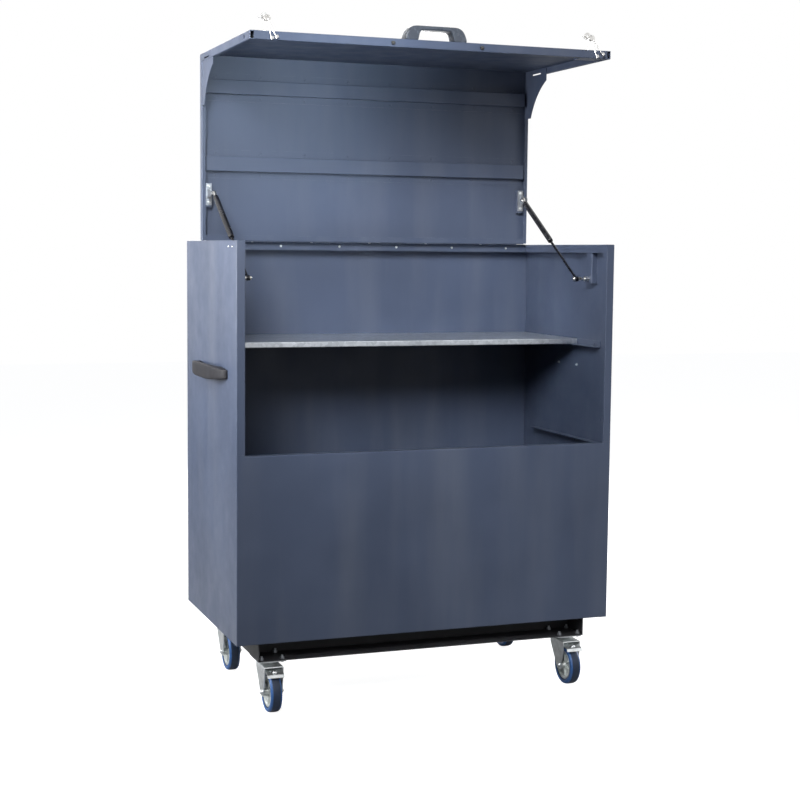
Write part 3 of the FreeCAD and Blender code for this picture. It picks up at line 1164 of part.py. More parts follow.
def castor_bolts(x, y):
    """Four bolts with their nuts inside the bearer."""
    low = CASTOR_HEIGHT - PLATE_THICKNESS
    through = PLATE_THICKNESS + BEARER_SHEET
    bolts = []
    for across, along in castor_bolt_places(0, 0):
        centre = (x + across, y + along)
        bolt = dome_fastener("Z", centre, low, -1, BOLT_HEAD_RADIUS, BOLT_HEAD_HEIGHT, BOLT_RADIUS,
                             through + NUT_HEIGHT + 2 * THREAD_END)
        seat = CASTOR_HEIGHT + BEARER_SHEET
        nut = slab("Z", hexagon(centre, NUT_RADIUS), seat, seat + NUT_HEIGHT)
        bolts.append(bolt.fuse(nut))
    return bolts


def castor_fork(with_pedal):
    """Pressed fork with its king pin, and holes for the axle and the pedal's pins."""
    half = FORK_WIDTH / 2
    low = WHEEL_RADIUS - FORK_TIP_RADIUS
    bent = folded_sheet("Y", [(half, low), (half, CROWN_TOP), (-half, CROWN_TOP), (-half, low)],
                        FORK_SHEET, -FORK_FRONT, FORK_BACK)
    y, z = WHEEL_CENTRE
    outline = [(-FORK_FRONT, CROWN_TOP), (FORK_BACK, CROWN_TOP), (FORK_BACK, CROWN_TOP - FORK_HEEL_DROP),
               (y + FORK_TIP_RADIUS, z - FORK_TIP_RADIUS), (y - FORK_TIP_RADIUS, z - FORK_TIP_RADIUS),
               (-FORK_FRONT, CROWN_TOP - FORK_EAR_DROP)]
    side = slab("X", outline, -half - SHEET, half + SHEET,
                [4, 8, 8, FORK_TIP_RADIUS - 3, FORK_TIP_RADIUS - 3, 8])
    pin = rod("Z", (0, 0), KING_PIN_RADIUS, CROWN_TOP - SHEET, CROWN_TOP + KING_PIN_LENGTH)
    axle_hole = rod("X", WHEEL_CENTRE, AXLE_RADIUS + AXLE_CLEARANCE, -half - SHEET, half + SHEET)
    fork = bent.common(side).fuse(pin).cut(axle_hole)
    if with_pedal:
        fork = fork.cut(rod("X", PEDAL_PIN, PEDAL_PIN_RADIUS + PEDAL_PIN_CLEARANCE, -half - SHEET,
                            half + SHEET))
    return fork.removeSplitter()


def castor_axle():
    """Axle bolt with a domed nut on each side of the fork."""
    half = FORK_WIDTH / 2
    nut = turned("X", WHEEL_CENTRE, half, [(0, 0), (AXLE_NUT_RADIUS, 0), (AXLE_NUT_RADIUS, AXLE_NUT_HEIGHT),
                                           (0, AXLE_NUT_HEIGHT)], [0, 0, AXLE_NUT_HEIGHT * 0.8, 0])
    return rod("X", WHEEL_CENTRE, AXLE_RADIUS, -half, half).fuse([nut, mirrored(nut)]).removeSplitter()


def wheel_centre():
    """Moulded wheel centre with a hub, a thin web and a rim."""
    hub = LEG_INNER - HUB_LEG_GAP
    bore = AXLE_RADIUS + AXLE_CLEARANCE
    half_profile = [(bore, hub), (HUB_RADIUS, hub), (HUB_RADIUS + SHEET, WEB_WIDTH / 2),
                    (RIM_INNER_RADIUS - SHEET, WEB_WIDTH / 2), (RIM_INNER_RADIUS, RIM_WIDTH / 2),
                    (TYRE_INNER_RADIUS, RIM_WIDTH / 2)]
    other_half = [(radius, -height) for radius, height in half_profile[::-1]]
    return turned("X", WHEEL_CENTRE, 0, half_profile + other_half)


def tyre():
    """Elastic tyre with rounded shoulders, moulded on the rim."""
    half = TREAD_WIDTH / 2
    shoulder = TYRE_INNER_RADIUS + TREAD_ROUNDING / 2
    half_profile = [(TYRE_INNER_RADIUS, RIM_WIDTH / 2), (shoulder, half), (WHEEL_RADIUS, half)]
    other_half = [(radius, -height) for radius, height in half_profile[::-1]]
    return turned("X", WHEEL_CENTRE, 0, half_profile + other_half,
                  [0, SHEET, TREAD_ROUNDING, TREAD_ROUNDING, SHEET, 0])


def brake_pedal():
    """Pedal that turns on pins in the fork's ears and presses a shoe on the tyre."""
    y, z = PEDAL_PIN
    slope = math.radians(PEDAL_SLOPE)
    lip_slope = math.radians(PEDAL_LIP_SLOPE)
    half = LEG_INNER - PEDAL_SIDE_GAP
    heel = (y + PEDAL_HEEL * math.cos(slope), z + PEDAL_TOP_OFFSET + PEDAL_HEEL * math.sin(slope))
    bend = (heel[0] - PEDAL_LENGTH * math.cos(slope), heel[1] - PEDAL_LENGTH * math.sin(slope))
    tip = (bend[0] - PEDAL_LIP * math.cos(lip_slope), bend[1] - PEDAL_LIP * math.sin(lip_slope))
    plate = folded_sheet("X", [heel, bend, tip], PEDAL_SHEET, -half, half)
    ear = slab("X", [(y - PEDAL_EAR_RADIUS, z - PEDAL_EAR_RADIUS),
                     (y + PEDAL_EAR_RADIUS, z - PEDAL_EAR_RADIUS),
                     (y + PEDAL_EAR_RADIUS / 2, z + PEDAL_EAR_RADIUS - SHEET),
                     (y - PEDAL_EAR_RADIUS, z + PEDAL_EAR_RADIUS - 2 * SHEET)],
               half - PEDAL_SHEET, half, [PEDAL_EAR_RADIUS / 2, PEDAL_EAR_RADIUS / 2, 0, 0])
    pin = rod("X", PEDAL_PIN, PEDAL_PIN_RADIUS, half - PEDAL_SHEET, FORK_WIDTH / 2)
    stud_y = heel[0] - PEDAL_STUD_AT * math.cos(slope)
    stud_z = heel[1] - PEDAL_STUD_AT * math.sin(slope)
    stud = turned("Z", (0, stud_y), stud_z - SHEET, [(0, 0), (PEDAL_STUD_RADIUS, 0),
                                                     (PEDAL_STUD_RADIUS, PEDAL_STUD_RADIUS),
                                                     (0, PEDAL_STUD_RADIUS)],
                  [0, 0, PEDAL_STUD_RADIUS * 0.8, 0])
    shoe = slab("X", [(bend[0] + SHOE_START, bend[1] - PEDAL_STUD_RADIUS * 2),
                      (bend[0] + SHOE_START + SHOE_LENGTH, bend[1] - PEDAL_STUD_RADIUS * 2),
                      (bend[0] + SHOE_START + SHOE_LENGTH,
                       bend[1] + (SHOE_START + SHOE_LENGTH) * math.tan(slope) - SHEET),
                      (bend[0] + SHOE_START, bend[1] + SHOE_START * math.tan(slope) - SHEET)],
                -SHOE_WIDTH / 2, SHOE_WIDTH / 2)
    tyre_room = rod("X", WHEEL_CENTRE, WHEEL_RADIUS + SHOE_TYRE_GAP, -half, half)
    tyre_room.rotate(V(0, y, z), V(1, 0, 0), -PEDAL_TRAVEL)
    shoe = shoe.cut(tyre_room)
    return plate.fuse([ear, mirrored(ear), pin, mirrored(pin), stud, shoe]).removeSplitter()


def moved(shape, x, y):
    placed = shape.copy()
    placed.translate(V(x, y, 0))
    return placed


# ---- write every sub-part ----
save("side_panel_left", left_side_panel())
save("side_panel_right", mirrored(left_side_panel()))
save("front_panel", front_panel())
save("back_panel", back_panel())
save("floor_panel", floor_panel())
save("bearers_long", group([long_bearer(-1), long_bearer(1)]))
save("bearers_side", side_bearers())
save("shelf", shelf())

ledges = [shelf_ledge(), low_ledge()]
save("wall_ledges", group(ledges + [mirrored(angle) for angle in ledges]))
save("ledge_rivets", group(ledge_rivets() + [mirrored(rivet) for rivet in ledge_rivets()]))

save("side_handle_left", left_grip())
save("side_handle_right", mirrored(left_grip()))
save("side_handle_screws", group(left_grip_screws() + [mirrored(screw) for screw in left_grip_screws()]))

save("lid_shell", opened(lid_shell()))
save("lid_gussets_and_pads", group([opened(left_gusset()), opened(mirrored(left_gusset())), lid_pad(),
                                    mirrored(lid_pad())]))
save("lid_rails", opened(group([lid_rail(UPPER_RAIL_Y, UPPER_RAIL_FACE),
                                lid_rail(LOWER_RAIL_Y, LOWER_RAIL_FACE)])))
save("lid_rail_rivets", opened(rail_rivets()))
save("lid_handle", opened(lid_handle()))
save("bump_stops", opened(bump_stops()))

save("hinge_leaf_body", hinge_leaf(1, 0))
save("hinge_leaf_lid", opened(hinge_leaf(-1, 1)))
save("hinge_pin", hinge_pin())
save("hinge_screws_body", hinge_screws(1))
save("hinge_screws_lid", opened(hinge_screws(-1)))

save("lock_cases", opened(group([lock_case(), mirrored(lock_case())])))
save("lock_escutcheons", opened(group([escutcheon(RIGHT_LOCK_X), mirrored(escutcheon(LEFT_LOCK_X))])))
save("lock_bolt_right", opened(lock_bolt()))
save("lock_bolt_left", opened(mirrored(lock_bolt())))
save("lock_key_right", opened(lock_key(RIGHT_LOCK_X)))
save("lock_key_left", opened(mirrored(lock_key(LEFT_LOCK_X))))
save("spare_keys_right", spare_keys(RIGHT_LOCK_X, RIGHT_KEY_FAN, RIGHT_KEY_FAN_STEP))
save("spare_keys_left", spare_keys(-LEFT_LOCK_X, LEFT_KEY_FAN, LEFT_KEY_FAN_STEP))

save("strut_rod_right", strut_rod())
save("strut_rod_left", mirrored(strut_rod()))
save("strut_tube_right", group([strut_tube(), strut_end_fitting()]))
save("strut_tube_left", mirrored(group([strut_tube(), strut_end_fitting()])))
save("strut_brackets_body", group([body_bracket(), mirrored(body_bracket())]))
body_mount_hardware = body_bracket_rivets() + [body_stud()]
save("strut_studs_and_bolts", group(body_mount_hardware + [mirrored(part) for part in body_mount_hardware]))
save("strut_brackets_lid", group([lid_bracket(), mirrored(lid_bracket())]))
bracket_screws = lid_bracket_screws()
handle_screws = [opened(lid_handle_screws())]
save("lid_screws", group(bracket_screws + [mirrored(screw) for screw in bracket_screws] + handle_screws))

CASTOR_NAMES = {("front", -1): "left", ("front", 1): "right", ("rear", -1): "left", ("rear", 1): "right"}
all_castor_bolts = []
all_castor_tops = []
for (end_name, side), side_name in CASTOR_NAMES.items():
    end = -1 if end_name == "front" else 1
    x = side * CASTOR_X
    y = end * CASTOR_Y
    name = end_name + "_" + side_name
    all_castor_bolts += castor_bolts(x, y)
    all_castor_tops.append(moved(castor_top(), x, y))
    save("castor_fork_" + name, moved(castor_fork(end < 0), x, y))
    save("castor_axle_" + name, moved(castor_axle(), x, y))
    save("castor_wheel_" + name, moved(wheel_centre(), x, y))
    save("castor_tyre_" + name, moved(tyre(), x, y))
    if end < 0:
        save("brake_pedal_" + side_name, moved(brake_pedal(), x, y))
save("castor_tops", group(all_castor_tops))
save("castor_bolts", group(all_castor_bolts))
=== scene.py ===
# %% [markdown]
# # A jobsite storage box on castors
# The steel box, its lid, its locks and its castors come from a CAD model that is already packed, so
# the sizes and the joints are settled. What is left for Blender is how each surface looks, and the
# moulded and pressed pieces whose soft shapes are easier to model as meshes. The first cell loads
# the CAD pieces. Each one is an object at the origin, with its place in its mesh.

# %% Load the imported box
import math
import bmesh
import bpy
from mathutils import Matrix, Vector


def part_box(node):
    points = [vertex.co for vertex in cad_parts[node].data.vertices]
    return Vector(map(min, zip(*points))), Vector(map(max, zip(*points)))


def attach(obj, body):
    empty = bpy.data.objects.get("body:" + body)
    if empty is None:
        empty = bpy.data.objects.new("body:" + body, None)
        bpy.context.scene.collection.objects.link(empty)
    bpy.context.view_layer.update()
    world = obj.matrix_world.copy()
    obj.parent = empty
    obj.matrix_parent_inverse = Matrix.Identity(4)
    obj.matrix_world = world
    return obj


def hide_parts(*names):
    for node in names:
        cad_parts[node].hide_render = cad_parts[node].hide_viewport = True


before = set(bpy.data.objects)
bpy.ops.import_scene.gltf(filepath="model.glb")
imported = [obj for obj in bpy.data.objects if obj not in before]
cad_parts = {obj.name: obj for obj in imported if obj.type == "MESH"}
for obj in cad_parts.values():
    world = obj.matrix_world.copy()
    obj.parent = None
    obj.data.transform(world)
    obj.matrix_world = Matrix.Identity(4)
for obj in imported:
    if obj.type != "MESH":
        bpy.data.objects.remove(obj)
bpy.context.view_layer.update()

# %% [markdown]
# ## The camera
# A long lens from the front left shows the open front and the left end together. The camera is
# described by where it stands, how far it turns from straight ahead, how far it looks down, and how
# much it leans. Working out its three axes from those angles keeps each number easy to change.

# %% Place the camera
CAMERA_PLACE = Vector((-1.7326, -4.7004, 1.3841))
CAMERA_TURN = math.radians(20.38)
CAMERA_DOWN = math.radians(5.50)
CAMERA_LEAN = math.radians(0.557)
LENS_MM = 70.16
SENSOR_WIDTH_MM = 36.0
FARTHEST_SEEN = 50.0

ahead = Vector((math.sin(CAMERA_TURN) * math.cos(CAMERA_DOWN),
                math.cos(CAMERA_TURN) * math.cos(CAMERA_DOWN), -math.sin(CAMERA_DOWN)))
level_right = Vector((math.cos(CAMERA_TURN), -math.sin(CAMERA_TURN), 0.0))
level_up = level_right.cross(ahead)
right = level_right * math.cos(CAMERA_LEAN) + level_up * math.sin(CAMERA_LEAN)
up = right.cross(ahead)

camera_data = bpy.data.cameras.new("studio_camera")
camera_data.lens = LENS_MM
camera_data.sensor_width = SENSOR_WIDTH_MM
camera_data.clip_end = FARTHEST_SEEN
camera = bpy.data.objects.new("studio_camera", camera_data)
camera_axes = Matrix((right, up, -ahead)).transposed().to_4x4()
camera.matrix_world = Matrix.Translation(CAMERA_PLACE) @ camera_axes
bpy.context.scene.collection.objects.link(camera)
bpy.context.scene.camera = camera
bpy.context.scene.view_settings.view_transform = "Standard"
print("camera stands", round(CAMERA_PLACE.length, 2), "m from the origin")

# %% [markdown]
# ## Light and floor
# Dark satin paint shows its shape by what it mirrors, so the lamps are soft boxes: a key high on the
# front left, one beside each end, a weak one on the front right, one behind, and a small bluish one
# whose narrow beam reaches the inside of the lid. The world is white where the camera or a mirror
# looks at it, and only a soft grey where it lights the box, so the colours stay about as written.

# %% Light the studio
def soft_box(name, place, target, size, watts, spread=180, tint=(1.0, 1.0, 1.0)):
    """Square area lamp at a place, turned towards a target, with its beam narrowed to a spread."""
    lamp_data = bpy.data.lights.new(name, "AREA")
    lamp_data.shape = "SQUARE"
    lamp_data.size = size
    lamp_data.energy = watts
    lamp_data.spread = math.radians(spread)
    lamp_data.color = tint
    lamp = bpy.data.objects.new(name, lamp_data)
    direction = Vector(target) - Vector(place)
    aim = direction.to_track_quat("-Z", "Y").to_matrix().to_4x4()
    lamp.matrix_world = Matrix.Translation(place) @ aim
    bpy.context.scene.collection.objects.link(lamp)
    return lamp


soft_box("key_soft_box", (-1.9, -3.2, 3.3), (0.0, -0.1, 1.45), 1.8, 26, 42)
soft_box("left_soft_box", (-2.4, 0.1, 1.6), (-0.6, 0.1, 1.5), 1.0, 88)
soft_box("lid_soft_box", (-0.5, -3.5, 1.62), (-0.25, 0.28, 1.90), 0.5, 1.5, 16, (0.80, 0.92, 1.0))
soft_box("right_soft_box", (3.2, -2.4, 2.6), (0.0, 0.0, 1.3), 1.6, 14)
soft_box("end_soft_box", (3.6, 0.7, 1.9), (0.6, 0.1, 1.1), 1.8, 110)
soft_box("back_soft_box", (0.9, 4.3, 2.3), (0.0, 0.33, 1.1), 2.0, 190)

AMBIENT_TINT = (0.80, 0.88, 1.0, 1.0)
AMBIENT_LEVEL = 0.13
world = bpy.data.worlds.new("studio_world")
world.use_nodes = True
bpy.context.scene.world = world
nodes = world.node_tree.nodes
links = world.node_tree.links
nodes.clear()
light_path = nodes.new("ShaderNodeLightPath")
sees_camera = nodes.new("ShaderNodeMath")
sees_camera.operation = "MAXIMUM"
links.new(light_path.outputs["Is Camera Ray"], sees_camera.inputs[0])
links.new(light_path.outputs["Is Glossy Ray"], sees_camera.inputs[1])
sees_any = nodes.new("ShaderNodeMath")
sees_any.operation = "MAXIMUM"
links.new(sees_camera.outputs[0], sees_any.inputs[0])
links.new(light_path.outputs["Is Transmission Ray"], sees_any.inputs[1])
ambient = nodes.new("ShaderNodeBackground")
ambient.inputs["Color"].default_value = AMBIENT_TINT
ambient.inputs["Strength"].default_value = AMBIENT_LEVEL
backdrop = nodes.new("ShaderNodeBackground")
backdrop.inputs["Color"].default_value = (1.0, 1.0, 1.0, 1.0)
backdrop.inputs["Strength"].default_value = 1.0
choose = nodes.new("ShaderNodeMixShader")
links.new(sees_any.outputs[0], choose.inputs[0])
links.new(ambient.outputs[0], choose.inputs[1])
links.new(backdrop.outputs[0], choose.inputs[2])
world_output = nodes.new("ShaderNodeOutputWorld")
links.new(choose.outputs[0], world_output.inputs["Surface"])

# %% [markdown]
# The floor is a wide plane of mid grey with a glow that only the camera sees. The glow gives most of
# its white, so it runs into the white world with hardly a line, and throws no light on the box. The
# lamps add the rest, which leaves a faint shadow.

# %% Lay the floor
FLOOR_SIZE = 14.0
FLOOR_GREY = (0.42, 0.42, 0.42, 1.0)
FLOOR_GLOW = 0.94
floor_mesh = bpy.data.meshes.new("studio_floor")
floor_bm = bmesh.new()
bmesh.ops.create_grid(floor_bm, x_segments=1, y_segments=1, size=FLOOR_SIZE)
floor_bm.to_mesh(floor_mesh)
floor_bm.free()
floor = bpy.data.objects.new("studio_floor", floor_mesh)
bpy.context.scene.collection.objects.link(floor)

floor_paint = bpy.data.materials.new("studio_floor")
floor_paint.use_nodes = True
nodes = floor_paint.node_tree.nodes
links = floor_paint.node_tree.links
nodes.clear()
floor_diffuse = nodes.new("ShaderNodeBsdfDiffuse")
floor_diffuse.inputs["Color"].default_value = FLOOR_GREY
floor_glow = nodes.new("ShaderNodeEmission")
floor_path = nodes.new("ShaderNodeLightPath")
glow_level = nodes.new("ShaderNodeMath")
glow_level.operation = "MULTIPLY"
glow_level.inputs[1].default_value = FLOOR_GLOW
links.new(floor_path.outputs["Is Camera Ray"], glow_level.inputs[0])
links.new(glow_level.outputs[0], floor_glow.inputs["Strength"])
floor_sum = nodes.new("ShaderNodeAddShader")
links.new(floor_diffuse.outputs[0], floor_sum.inputs[0])
links.new(floor_glow.outputs[0], floor_sum.inputs[1])
floor_output = nodes.new("ShaderNodeOutputMaterial")
links.new(floor_sum.outputs[0], floor_output.inputs["Surface"])
floor_mesh.materials.append(floor_paint)
print("floor covers", 2 * FLOOR_SIZE, "m")

# %% [markdown]
# ## Building finishes
# Every finish is a Principled shader with noise in front of it. Short helpers keep the node code
# readable: they start a material, make a noise that reads Object coordinates, map a grey value
# between two limits, mix colours, add a bump, and find the edges that get rubbed. Object
# coordinates are in metres here, so a noise of scale 100 has features about a centimetre across.

# %% Helpers for node materials
def start_material(name):
    """A new material with its Principled shader, and its object coordinates."""
    material = bpy.data.materials.new(name)
    material.use_nodes = True
    tree = material.node_tree
    tree.nodes.clear()
    shader = tree.nodes.new("ShaderNodeBsdfPrincipled")
    output = tree.nodes.new("ShaderNodeOutputMaterial")
    tree.links.new(shader.outputs[0], output.inputs["Surface"])
    coordinates = tree.nodes.new("ShaderNodeTexCoord")
    return material, tree, shader, coordinates.outputs["Object"]


def noise(tree, where, scale, detail=3.0, stretch=(1.0, 1.0, 1.0)):
    """Grey noise over object coordinates, stretched along an axis where that is below one."""
    mapping = tree.nodes.new("ShaderNodeMapping")
    mapping.inputs["Scale"].default_value = stretch
    tree.links.new(where, mapping.inputs["Vector"])
    texture = tree.nodes.new("ShaderNodeTexNoise")
    texture.inputs["Scale"].default_value = scale
    texture.inputs["Detail"].default_value = detail
    tree.links.new(mapping.outputs[0], texture.inputs["Vector"])
    return texture.outputs["Fac"]


def between(tree, value, low, high, from_low=0.3, from_high=0.7):
    """A grey value mapped to run from low to high."""
    node = tree.nodes.new("ShaderNodeMapRange")
    node.inputs["From Min"].default_value = from_low
    node.inputs["From Max"].default_value = from_high
    node.inputs["To Min"].default_value = low
    node.inputs["To Max"].default_value = high
    tree.links.new(value, node.inputs["Value"])
    return node.outputs[0]


def mix_colour(tree, amount, first, second):
    """Two colours, or colour outputs, mixed by a grey value."""
    node = tree.nodes.new("ShaderNodeMix")
    node.data_type = "RGBA"
    tree.links.new(amount, node.inputs[0])
    for socket, colour in ((node.inputs[6], first), (node.inputs[7], second)):
        if isinstance(colour, tuple):
            socket.default_value = (*colour, 1.0)
        else:
            tree.links.new(colour, socket)
    return node.outputs[2]


def bump(tree, shader, height, strength, distance):
    """Bump from a grey height, in metres, into the shader's normal."""
    node = tree.nodes.new("ShaderNodeBump")
    node.inputs["Strength"].default_value = strength
    node.inputs["Distance"].default_value = distance
    tree.links.new(height, node.inputs["Height"])
    tree.links.new(node.outputs[0], shader.inputs["Normal"])


def edge_wear(tree, radius, low, high):
    """White near convex and concave edges, from how far a rounded normal leaves the real one."""
    rounded = tree.nodes.new("ShaderNodeBevel")
    rounded.samples = 4
    rounded.inputs["Radius"].default_value = radius
    geometry = tree.nodes.new("ShaderNodeNewGeometry")
    product = tree.nodes.new("ShaderNodeVectorMath")
    product.operation = "DOT_PRODUCT"
    tree.links.new(rounded.outputs[0], product.inputs[0])
    tree.links.new(geometry.outputs["Normal"], product.inputs[1])
    return between(tree, product.outputs["Value"], 1.0, 0.0, low, high)


# %% [markdown]
# ## Powder coat
# Powder is baked on and keeps a faint orange-peel skin. The same paint is used inside and out, so
# one function makes it, with a broad noise for uneven thickness, dust in streaks that run down the
# sheet, and a slightly brighter line where edges get rubbed.

# %% The powder coat
def powder_coat(name, colour, roughness, dust=0.10):
    material, tree, shader, where = start_material(name)
    cloudy = noise(tree, where, 2.2, 4.0)
    lighter = tuple(channel * 1.18 + 0.004 for channel in colour)
    darker = tuple(channel * 0.86 for channel in colour)
    paint = mix_colour(tree, between(tree, cloudy, 0.0, 1.0), darker, lighter)
    streaks = noise(tree, where, 9.0, 6.0, (1.0, 1.0, 0.12))
    dust_amount = between(tree, streaks, 0.0, dust, 0.45, 0.8)
    dusty = mix_colour(tree, dust_amount, paint, (0.30, 0.31, 0.33))
    rubbed = edge_wear(tree, 0.0016, 0.90, 0.99)
    rub_noise = noise(tree, where, 45.0, 5.0)
    rub_amount = tree.nodes.new("ShaderNodeMath")
    rub_amount.operation = "MULTIPLY"
    tree.links.new(rubbed, rub_amount.inputs[0])
    tree.links.new(between(tree, rub_noise, 0.0, 0.55, 0.45, 0.75), rub_amount.inputs[1])
    worn = mix_colour(tree, rub_amount.outputs[0], dusty, (0.26, 0.29, 0.35))
    tree.links.new(worn, shader.inputs["Base Color"])
    smears = noise(tree, where, 14.0, 5.0)
    tree.links.new(between(tree, smears, roughness - 0.05, roughness + 0.08),
                   shader.inputs["Roughness"])
    shader.inputs["Specular IOR Level"].default_value = 0.34
    bump(tree, shader, noise(tree, where, 620.0, 2.0), 0.10, 0.0004)
    return material


PAINT_COLOUR = (0.046, 0.061, 0.102)
outer_paint = powder_coat("blue_grey_powder_coat", PAINT_COLOUR, 0.40)
base_paint = powder_coat("black_base_powder_coat", (0.018, 0.018, 0.021), 0.52, 0.06)
print("paint colour", PAINT_COLOUR)

# %% [markdown]
# ## Metals
# Zinc plating is bright, a little blue and cloudy. Galvanised sheet shows crystals, which a Voronoi
# texture draws as cells of slightly different grey. Keys and bolts are smoother, and the struts'
# rods are ground and dark.

# %% The metals
def zinc_plate(name, colour, roughness):
    material, tree, shader, where = start_material(name)
    cloudy = noise(tree, where, 60.0, 5.0)
    darker = tuple(channel * 0.72 for channel in colour)
    plated = mix_colour(tree, between(tree, cloudy, 0.0, 1.0), darker, colour)
    rubbed = mix_colour(tree, edge_wear(tree, 0.0012, 0.80, 0.99), plated,
                        tuple(channel * 1.1 for channel in colour))
    tree.links.new(rubbed, shader.inputs["Base Color"])
    shader.inputs["Metallic"].default_value = 1.0
    fine = noise(tree, where, 260.0, 4.0)
    tree.links.new(between(tree, fine, roughness - 0.08, roughness + 0.14),
                   shader.inputs["Roughness"])
    bump(tree, shader, fine, 0.12, 0.0003)
    return material


def galvanised_sheet(name):
    material, tree, shader, where = start_material(name)
    crystals = tree.nodes.new("ShaderNodeTexVoronoi")
    crystals.inputs["Scale"].default_value = 95.0
    tree.links.new(where, crystals.inputs["Vector"])
    split = tree.nodes.new("ShaderNodeSeparateColor")
    tree.links.new(crystals.outputs["Color"], split.inputs[0])
    spangle = mix_colour(tree, between(tree, split.outputs[0], 0.0, 1.0, 0.0, 1.0),
                         (0.48, 0.52, 0.57), (0.66, 0.70, 0.75))
    scuffs = noise(tree, where, 18.0, 6.0, (0.15, 1.0, 1.0))
    scuffed = mix_colour(tree, between(tree, scuffs, 0.0, 0.5, 0.5, 0.8), spangle, (0.34, 0.37, 0.41))
    tree.links.new(scuffed, shader.inputs["Base Color"])
    shader.inputs["Metallic"].default_value = 1.0
    tree.links.new(between(tree, split.outputs[1], 0.30, 0.46, 0.0, 1.0),
                   shader.inputs["Roughness"])
    bump(tree, shader, noise(tree, where, 300.0, 3.0), 0.08, 0.0003)
    return material


zinc = zinc_plate("zinc_plate", (0.66, 0.69, 0.70), 0.34)
dull_zinc = zinc_plate("dull_zinc_plate", (0.34, 0.36, 0.39), 0.40)
bright_steel = zinc_plate("nickel_plate", (0.78, 0.77, 0.75), 0.22)
rod_steel = zinc_plate("dark_ground_rod", (0.055, 0.055, 0.062), 0.24)
galvanised = galvanised_sheet("galvanised_spangle")
print("metals:", [finish.name for finish in (zinc, dull_zinc, bright_steel, rod_steel, galvanised)])

# %% [markdown]
# ## Plastics and rubber
# Moulded black plastic has a fine spark-eroded grain, and the lid handle's is glossier and a little
# blue. Rubber is duller and picks up pale dust. The wheel centres are grey with a slight sheen.

# %% Plastics and rubber
def moulded(name, colour, roughness, grain_scale, grain_depth, dust=0.12,
            dust_colour=(0.22, 0.22, 0.23)):
    material, tree, shader, where = start_material(name)
    patches = noise(tree, where, 24.0, 5.0)
    tinted = mix_colour(tree, between(tree, patches, 0.0, 1.0), tuple(c * 0.8 for c in colour),
                        tuple(c * 1.2 for c in colour))
    settled = mix_colour(tree, between(tree, noise(tree, where, 70.0, 6.0), 0.0, dust, 0.5, 0.8),
                         tinted, dust_colour)
    rubbed = mix_colour(tree, between(tree, edge_wear(tree, 0.0012, 0.85, 0.99), 0.0, 0.25, 0.0, 1.0),
                        settled, tuple(c * 1.6 + 0.02 for c in colour))
    tree.links.new(rubbed, shader.inputs["Base Color"])
    tree.links.new(between(tree, patches, roughness - 0.05, roughness + 0.07),
                   shader.inputs["Roughness"])
    bump(tree, shader, noise(tree, where, grain_scale, 2.0), 0.25, grain_depth)
    return material


black_plastic = moulded("black_moulded_plastic", (0.012, 0.012, 0.015), 0.50, 1400.0, 0.0002, 0.05)
black_shader = black_plastic.node_tree.nodes["Principled BSDF"]
black_shader.inputs["Specular IOR Level"].default_value = 0.22
glossy_plastic = moulded("slate_moulded_plastic", (0.042, 0.050, 0.066), 0.26, 1400.0, 0.0001, 0.05)
strut_lacquer = moulded("black_strut_lacquer", (0.010, 0.010, 0.012), 0.24, 400.0, 0.0001, 0.05)
stop_rubber = moulded("bump_stop_rubber", (0.020, 0.020, 0.020), 0.60, 900.0, 0.0002)
tread_rubber = moulded("navy_tread_rubber", (0.005, 0.015, 0.040), 0.60, 700.0, 0.0003, 0.05)
grey_plastic = moulded("grey_wheel_plastic", (0.46, 0.49, 0.48), 0.40, 900.0, 0.0002, 0.2,
                       (0.25, 0.25, 0.24))
print("plastics and rubbers ready")

# %% [markdown]
# ## Painting the CAD pieces
# A CAD piece that already has its true shape keeps it and only gets a finish. The names are matched
# by how they start, so the four castors are painted by one line. Pieces that are modelled below are
# painted too, because a CAD piece stays in the file when another takes its place.

# %% Paint the pieces that keep their CAD shape
def paint(material, *starts):
    """Give a finish to every CAD piece whose name starts with one of these words."""
    painted = [piece for name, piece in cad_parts.items() if name.startswith(starts)]
    for piece in painted:
        for slot in piece.material_slots:
            slot.material = material
        if not piece.material_slots:
            piece.data.materials.append(material)
    return len(painted)


paint(outer_paint, "side_panel", "front_panel", "back_panel", "floor_panel", "wall_ledges",
      "lid_shell", "lid_gussets", "lid_rails", "strut_brackets_body", "hinge_leaf", "ledge_rivets",
      "lid_rail_rivets", "lock_cases")
paint(base_paint, "bearers")
paint(galvanised, "shelf")
paint(zinc, "hinge_pin", "hinge_screws", "lid_screws", "side_handle_screws",
      "castor_tops", "castor_fork", "castor_axle", "brake_pedal")
paint(dull_zinc, "strut_brackets_lid", "castor_bolts")
paint(bright_steel, "strut_studs", "lock_escutcheons", "lock_bolt", "lock_key", "spare_keys")
paint(rod_steel, "strut_rod")
paint(strut_lacquer, "strut_tube")
paint(black_plastic, "side_handle_left", "side_handle_right", "lid_handle")
paint(stop_rubber, "bump_stops")
paint(tread_rubber, "castor_tyre")
paint(grey_plastic, "castor_wheel")
print("painted", len(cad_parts), "CAD pieces")

# %% [markdown]
# ## Tools for the modelled pieces
# Two kinds of mesh cover most of the moulded and turned pieces. A bow is a row of rounded sections
# that run from one foot to the other, and a turned piece is a profile spun about an axis. Both are
# placed by their own points, so the finished object stays at the origin.

# %% Helpers for modelled pieces
MM = 0.001


